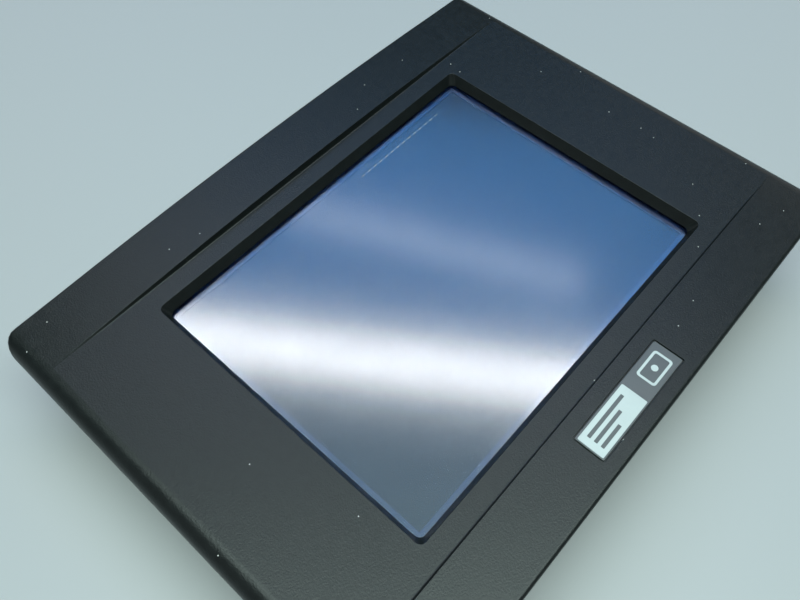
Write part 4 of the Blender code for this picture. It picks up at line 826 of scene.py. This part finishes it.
# %% [markdown]
# The housing is folded sheet under black powder coat. The plated parts and boards inside show
# through the vents and when the card door is open, so they get their own finishes too. They could
# be left out as hidden, but a hollow case looks wrong as soon as the door moves. A table says for
# each CAD part what its piece is called, which body it rides on, its finish and its edge round.

# %% Housing and inside
PARTS = (
    ("rear_chassis", "housing", TERMINAL, "black_paint", 0.3),
    ("rear_cover", "cover", TERMINAL, "black_paint", 0.3),
    ("lcd_frame", "display_frame", TERMINAL, "zinc_steel", 0.1),
    ("light_guide", "display_guide", TERMINAL, "clear_plastic", 0.1),
    ("lamp_upper", "display_lamp_upper", TERMINAL, "lamp_white", 0.1),
    ("lamp_lower", "display_lamp_lower", TERMINAL, "lamp_white", 0.1),
    ("lcd_tray", "display_tray", TERMINAL, "ivory_plastic", 0.2),
    ("display_plate", "carrier_plate", TERMINAL, "zinc_steel", 0.15),
    ("display_cable", "flat_cable", TERMINAL, "orange_film", 0.1),
    ("inverter_board", "lamp_supply_board", TERMINAL, "green_board", 0.1),
    ("inverter_transformer", "lamp_transformer", TERMINAL, "black_chip", 0.3),
    ("main_board", "control_board", TERMINAL, "green_board", 0.1),
    ("processor", "processor_chip", TERMINAL, "black_chip", 0.2),
    ("heat_sink", "heat_sink_fins", TERMINAL, "aluminium", 0.15),
    ("memory_socket", "memory_holder", TERMINAL, "ivory_plastic", 0.2),
    ("memory_module", "memory_board", TERMINAL, "green_board", 0.1),
    ("battery_holder", "battery_cup", TERMINAL, "black_chip", 0.2),
    ("coin_cell", "battery_cell", TERMINAL, "bright_steel", 0.3),
    ("card_socket", "card_slot_body", TERMINAL, "black_chip", 0.2),
    ("memory_card", "card_body", "memory_card", "black_chip", 0.25),
    ("eject_button", "eject_bar", "eject_button", "black_moulding", 0.2),
    ("power_header", "power_socket", TERMINAL, "green_terminal", 0.2),
    ("power_plug", "power_plug_body", "power_plug", "green_terminal", 0.25),
    ("network_socket", "network_shell", TERMINAL, "bright_steel", 0.2),
    ("usb_socket", "usb_shell", TERMINAL, "bright_steel", 0.2),
    ("mode_switch", "mode_lever", "mode_switch", "ivory_plastic", 0.25),
    ("card_door", "door_leaf", "card_door", "black_moulding", 0.3),
    ("door_pin", "door_hinge_pin", TERMINAL, "bright_steel", 0.1),
    ("rating_plate", "rating_label", TERMINAL, "label_film", 0.05),
)
for part in PARTS:
    refined(*part)
CORNERS = (1, 2, 3, 4)
for number in CORNERS:
    refined(f"cover_screw_{number}", f"cover_screw_head_{number}", TERMINAL, "bright_steel", 0.12)
    refined(f"clamp_bracket_{number}", f"clamp_block_{number}", TERMINAL, "zinc_steel", 0.4)
print("refined parts:", len(PARTS) + 2 * len(CORNERS))

# %% [markdown]
# Pins, contacts, screws and clamps come in sets. Each one could be modelled afresh, or an instance
# could share one mesh. Here one is modelled at the origin and duplicated to every place, each copy
# with a mesh of its own, because each may ride on another body. Small ones are then joined, so
# that a set of contacts is one piece.

# %% Copies and sets
def repeat(shape, places):
    """Copies of one shape at several places in mm, each with its own mesh. The shape is used up."""
    made = []
    for place in places:
        focus(shape)
        bpy.ops.object.duplicate(linked=False)
        copy = bpy.context.object
        copy.location = [v * MM for v in place]
        apply_place(copy)
        made.append(copy)
    bpy.data.objects.remove(shape, do_unlink=True)
    return made


def merge(name, *parts):
    """Makes one piece of several shapes."""
    bpy.ops.object.select_all(action="DESELECT")
    for part in parts:
        part.select_set(True)
    bpy.context.view_layer.objects.active = parts[0]
    bpy.ops.object.join()
    parts[0].name = name
    return parts[0]


def settle_set(copies, name, labels, bodies, slot, surface, stands_for=False):
    """Names and settles each copy of a set. With stands_for, a copy replaces its body's node."""
    for copy, label, body in zip(copies, labels, bodies):
        copy.name = f"{name}_{label}"
        replaced = (body,) if stands_for else ()
        settle(copy, body, slot, surface, *replaced)


print("copies and sets ready")

# %% [markdown]
# Each nine-way port is a pressed shell on a flange between two hexagonal posts with threaded holes.
# Nine gilt pins stand in a black insulator at the bottom of the shell, five over four. The posts
# are solid in the CAD, so a stepped bore is cut into each. Insulator and pins are modelled once
# and copied to both ports.

# %% Nine-way ports
PIN_PITCH = 2.77
ROWS = ((5, 1.42), (4, -1.42))
POST_HALF = 12.5
WALL = corners("rear_chassis")[0].y
bore_profile = ((1.45, 0.0), (1.45, 3.4), (1.75, 3.9), (1.75, 5.0))
pin_profile = ((0.5, 0.0), (0.5, 3.6), (0.38, 4.0), (0.15, 4.15))
bore = turned("bore", bore_profile, (0, WALL - 2.0, 0), "-y", 24)
block = slab("insulator", (-8.0, WALL - 1.6, -3.6), (8.0, WALL - 0.15, 3.6), 1.5, 1, 0.1)
pin = turned("pin", pin_profile, (0, WALL - 1.5, 0), "-y", 16)
seats = [((i - (count - 1) / 2) * PIN_PITCH, 0, z) for count, z in ROWS for i in range(count)]
pins = merge("pins", *repeat(pin, seats))

PORTS = ("a", "b")
ports = [centre(f"serial_port_{letter}") for letter in PORTS]
port_places = [(port.x, 0, port.z) for port in ports]
bores = repeat(bore, [(port.x + side * POST_HALF, 0, port.z) for port in ports for side in (-1, 1)])
for index, letter in enumerate(PORTS):
    node = f"serial_port_{letter}"
    shell = refined(node, f"serial_shell_{letter}", TERMINAL, "bright_steel", 0.2)
    cut(shell, *bores[2 * index:2 * index + 2])
fixed = (TERMINAL, TERMINAL)
settle_set(repeat(block, port_places), "serial_insulator", PORTS, fixed, "black_chip", "black_chip")
settle_set(repeat(pins, port_places), "serial_pins", PORTS, fixed, "brass", "gold_contact")
print("pins per port:", len(seats))

# %% [markdown]
# The network socket shows eight sprung contacts over its latch notch, a black liner at its end and
# two small lamps. A contact is a bent wire, but only its slanted front is seen, so it is a thin
# slab that is tilted about its own axis and copied seven times.

# %% Network socket
SPRINGS = 8
SPRING_PITCH = 1.02
SPRING_TILT = math.radians(-17)
network = centre("network_socket")
spring = slab("spring", (-0.22, -4.2, -0.14), (0.22, 4.2, 0.14), edge=0.05)
spring.rotation_euler = (SPRING_TILT, 0.0, 0.0)
spring.location = (0.0, (WALL + 5.4) * MM, (network.z + 1.9) * MM)
apply_place(spring)
middle = (SPRINGS - 1) / 2
springs = repeat(spring, [(network.x + (i - middle) * SPRING_PITCH, 0, 0) for i in range(SPRINGS)])
settle(merge("network_contacts", *springs), TERMINAL, "brass", "gold_contact")
liner_low = (network.x - 5.8, WALL + 10.0, network.z - 3.3)
liner_high = (network.x + 5.8, WALL + 10.9, network.z + 3.5)
settle(slab("network_liner", liner_low, liner_high), TERMINAL, "black_chip", "black_chip")
lens = slab("lens", (-1.5, WALL - 1.2, -6.0), (1.5, WALL - 0.5, -4.4), 0.3, 1, 0.1)
lenses = repeat(lens, [(network.x + side * 5.4, 0, network.z) for side in (-1, 1)])
for lens, surface in zip(lenses, ("green_lens", "amber_lens")):
    lens.name = f"network_lamp_{surface}"
    settle(lens, TERMINAL, "clear_plastic", surface)
print("network contacts:", SPRINGS)

# %% [markdown]
# Each of the two stacked data sockets has a plastic tongue with four contacts under it. Tongue and
# contacts are modelled for one socket at height zero and copied to the two levels, which lie
# evenly above and below the middle of the shell.

# %% Data sockets
LEVEL_HALF = 3.7
STRIP_PITCH = 2.5
LEVELS = (1, 2)
usb = centre("usb_socket")
levels = [(usb.x, 0, usb.z + LEVEL_HALF), (usb.x, 0, usb.z - LEVEL_HALF)]
tongue = slab("tongue", (-5.7, WALL + 0.9, 0.1), (5.7, WALL + 10.9, 2.1), 0.2, 1, 0.1)
strip = slab("strip", (-0.5, WALL + 1.4, 0.03), (0.5, WALL + 8.5, 0.14), edge=0.03)
strips = merge("strips", *repeat(strip, [((i - 1.5) * STRIP_PITCH, 0, 0) for i in range(4)]))
settle_set(repeat(tongue, levels), "usb_tongue", LEVELS, fixed, "black_chip", "black_chip")
settle_set(repeat(strips, levels), "usb_contacts", LEVELS, fixed, "brass", "gold_contact")
print("data sockets:", len(levels))

# %% [markdown]
# The power plug clamps its wires under three slotted screws, each over a plated cage that shows in
# the wire hole. The CAD screws have few sides and no slot. So one head is turned with more sides,
# a groove is cut across it, and it is copied. Each copy rides on its own screw body and stands for
# that screw.

# %% Power plug
SCREWS = (1, 2, 3)
screws = [f"terminal_screw_{number}" for number in SCREWS]
plug_low = corners(screws[0])[0].z
head = turned("head", ((1.45, 0.0), (1.7, 0.25), (1.7, 2.8)), (0, 0, 0), "+z", 40)
cut(head, slab("groove", (-2.5, -0.3, -0.7), (2.5, 0.3, 0.7), edge=0.0))
cage = slab("cage", (-1.6, WALL - 4.7, 4.5), (1.6, WALL - 4.1, 7.9), 0.2, 1, 0.08)
plug_x = [centre(node).x for node in screws]
heads = repeat(head, [(x, WALL - 8.0, plug_low) for x in plug_x])
settle_set(heads, "terminal_screw_head", SCREWS, screws, "bright_steel", "bright_steel", True)
cages = repeat(cage, [(x, 0, plug_low) for x in plug_x])
settle_set(cages, "wire_clamp", SCREWS, ["power_plug"] * 3, "bright_steel", "zinc_steel")
print("plug screws at x:", [round(x, 2) for x in plug_x])

# %% [markdown]
# The earth stud and the clamp screws have a real thread. A bump would do from afar, but the stud
# stands free and its outline shows the turns. Rings would look alike, but a thread climbs. So a
# bent line, which is half a square standing on its corner, is swept round and up its own axis by a
# Screw modifier. The turns are then merged, and the ends closed.

# %% Thread
THREAD_STEPS = 32


def threaded(name, root, crest, pitch, length, base, toward="+z"):
    """A right-hand screw thread: a bent line swept round and up its own axis. Sizes in mm."""
    bpy.ops.object.select_all(action="DESELECT")
    bpy.ops.mesh.primitive_circle_add(vertices=4, radius=1.0, fill_type="NOTHING")
    obj = bpy.context.object
    obj.name = name
    bpy.ops.object.mode_set(mode="EDIT")
    bpy.ops.mesh.select_mode(type="VERT")
    bpy.ops.mesh.select_all(action="DESELECT")
    bpy.ops.object.mode_set(mode="OBJECT")
    for point in obj.data.vertices:
        point.select = point.co.x < -0.5
    bpy.ops.object.mode_set(mode="EDIT")
    bpy.ops.mesh.delete(type="VERT")
    bpy.ops.object.mode_set(mode="OBJECT")
    obj.scale = ((crest - root) * MM, pitch / 2 * MM, 1.0)
    obj.rotation_euler = (math.pi / 2, 0.0, 0.0)
    obj.location = (root * MM, 0.0, 0.0)
    apply_place(obj)
    sweep = obj.modifiers.new("sweep", "SCREW")
    sweep.steps = THREAD_STEPS
    sweep.render_steps = THREAD_STEPS
    sweep.iterations = int(length / pitch)
    sweep.screw_offset = pitch * MM
    sweep.use_merge_vertices = True
    sweep.merge_threshold = MERGE_WITHIN / 2
    bpy.ops.object.modifier_apply(modifier="sweep")
    bpy.ops.object.mode_set(mode="EDIT")
    bpy.ops.mesh.select_all(action="SELECT")
    bpy.ops.mesh.remove_doubles(threshold=MERGE_WITHIN)
    bpy.ops.mesh.fill_holes(sides=0)
    bpy.ops.mesh.normals_make_consistent(inside=False)
    bpy.ops.object.mode_set(mode="OBJECT")
    obj.rotation_euler = TOWARD[toward]
    obj.location = [v * MM for v in base]
    apply_place(obj)
    return obj


print("thread steps per turn:", THREAD_STEPS)

# %% [markdown]
# Beside the plug are the earth stud with its nut and washer, and further along the red reset
# button. The nut is good as it is in the CAD and is only refined. The stud is made anew from its
# thread, a turned tip and the collar that holds it in the wall, joined to one piece. The button is
# one turned profile: a flange that keeps it in, and a cap with a soft top.

# %% Earth stud and reset button
THREAD = (1.72, 2.0, 0.7)
stud = centre("earth_nut")
thread = threaded("earth_thread", *THREAD, 12.0, (stud.x, WALL + 3.4, stud.z), "-y")
tip_profile = ((1.7, 0.0), (1.7, 0.5), (1.45, 0.75))
tip = turned("earth_tip", tip_profile, (stud.x, WALL - 8.25, stud.z), "-y", 32)
collar = turned("earth_collar", ((3.6, 0.0), (3.6, 1.3)), (stud.x, WALL + 3.1, stud.z), "-y", 40, 0.15)
bar = merge("earth_stud_bar", thread, tip, collar)
settle(bar, TERMINAL, "brass", "brass", "earth_stud")
refined("earth_nut", "earth_nut_hex", TERMINAL, "bright_steel", 0.3)
washer_place = (stud.x, WALL - 0.25, stud.z)
washer = turned("earth_washer", ((4.4, 0.0), (4.4, 0.7)), washer_place, "-y", 18, 0.15)
settle(washer, TERMINAL, "bright_steel", "zinc_steel")
cap_profile = ((3.0, 0.0), (3.0, 1.15), (2.0, 1.15), (2.0, 4.2), (1.85, 4.5), (1.5, 4.6))
reset = centre("reset_button")
button = turned("reset_cap", cap_profile, (reset.x, WALL + 4.0, reset.z), "-y", 40)
settle(button, "reset_button", "red_plastic", "red_plastic", "reset_button")
print("stud at x", round(stud.x, 1), "and button at x", round(reset.x, 1))

# %% [markdown]
# Four clamps hold the terminal in its panel. Each screw has the same 0.7 mm thread and a slotted
# cheese head. The pad at its tip is a moulded cap with two grip grooves and a socket for the tip.
# Screw and pad are separate pieces, because the screw turns and the pad only slides. One of each
# is modelled on the axis at height zero and copied to the four screws of the CAD.

# %% Panel clamps
SCREW_TIP = 1.8
clamps = [f"clamp_screw_{number}" for number in CORNERS]
pads = [f"clamp_pad_{number}" for number in CORNERS]
screw_low, screw_high = corners(clamps[0])
screw_long = screw_high.z - screw_low.z
thread = threaded("thread", *THREAD, 26.0, (0, 0, 3.7))
tip = turned("tip", ((1.7, 0.0), (1.7, 1.5), (1.4, SCREW_TIP)), (0, 0, screw_long - SCREW_TIP), "+z", 32)
head = turned("head", ((3.1, 0.0), (3.5, 0.4), (3.5, 3.7), (3.3, 4.0)), (0, 0, 0))
cut(head, slab("groove", (-4, -0.5, -1.0), (4, 0.5, 1.2), edge=0.0))
screw = merge("screw", thread, tip, head)
pad_profile = (
    (4.2, 0.0), (4.6, 0.4), (4.6, 1.2), (4.2, 1.4), (4.2, 1.8), (4.6, 2.0),
    (4.6, 3.0), (4.2, 3.2), (4.2, 3.6), (4.6, 3.8), (4.6, 4.6), (4.2, 5.0),
)
pad = turned("pad", pad_profile, (0, 0, 0), "+z", 40)
cut(pad, turned("socket", ((2.3, 0.0), (2.3, 4.0)), (0, 0, -1.0), "+z", 32))
pad_low = corners(pads[0])[0].z
axes = [centre(node) for node in clamps]
bars = repeat(screw, [(axis.x, axis.y, screw_low.z) for axis in axes])
settle_set(bars, "clamp_screw_bar", CORNERS, clamps, "bright_steel", "bright_steel", True)
caps = repeat(pad, [(axis.x, axis.y, pad_low) for axis in axes])
settle_set(caps, "clamp_pad_cap", CORNERS, pads, "black_moulding", "black_moulding", True)
print("clamp screw length:", round(screw_long, 1))

# %% [markdown]
# The rating label is silver film. A real one names its maker and model, so here the print is only
# rows of bars of uneven length and two rules beside them, with no words. The lengths come from a
# seeded generator, so they are the same in every run. Each bar is a thin slab, and all are joined
# to one piece.

# %% Label print
WORD_GAP = 1.6
FULL_END = 22.0
SHORT_END = 6.0
RULE_START = 17.0
RULE_END = 27.5
label_low, label_high = corners("rating_plate")
label_back = label_low.x - 0.05
label_front = label_low.x + 0.03


def label_bar(start, end, low, high):
    return slab("bar", (label_back, start, low), (label_front, end, high), edge=0.0)


scatter = random.Random(7)
bars = []
for row in range(6):
    level = label_high.z - 3.4 - 3.1 * row
    start = label_low.y + 4.0
    while start < (SHORT_END if row > 1 else FULL_END):
        length = scatter.uniform(3.0, 9.0)
        bars.append(label_bar(start, start + length, level - 0.6, level + 0.6))
        start += length + WORD_GAP
for level in (14.5, 25.0):
    bars.append(label_bar(RULE_START, RULE_END, level, level + 0.5))
settle(merge("label_print", *bars), TERMINAL, "label_film", "ink")
print("label bars:", len(bars))

# %% [markdown]
# The memory card carries a blank paper label. It could be a patch of colour in the card's finish,
# but a sheet with its own edge reads as paper when the card slides out. It is a thin slab on the
# card's face and rides on the card.

# %% Card label
card_low, card_high = corners("memory_card")
paper_low = (card_low.x + 6, card_low.y + 4, card_low.z - 0.05)
paper_high = (card_high.x - 3, card_high.y - 4, card_low.z + 0.05)
paper = slab("card_label", paper_low, paper_high, 1.0, edge=0.02)
settle(paper, "memory_card", "label_film", "badge_light")
print("card label:", [round(b - a, 1) for a, b in zip(paper_low, paper_high)])
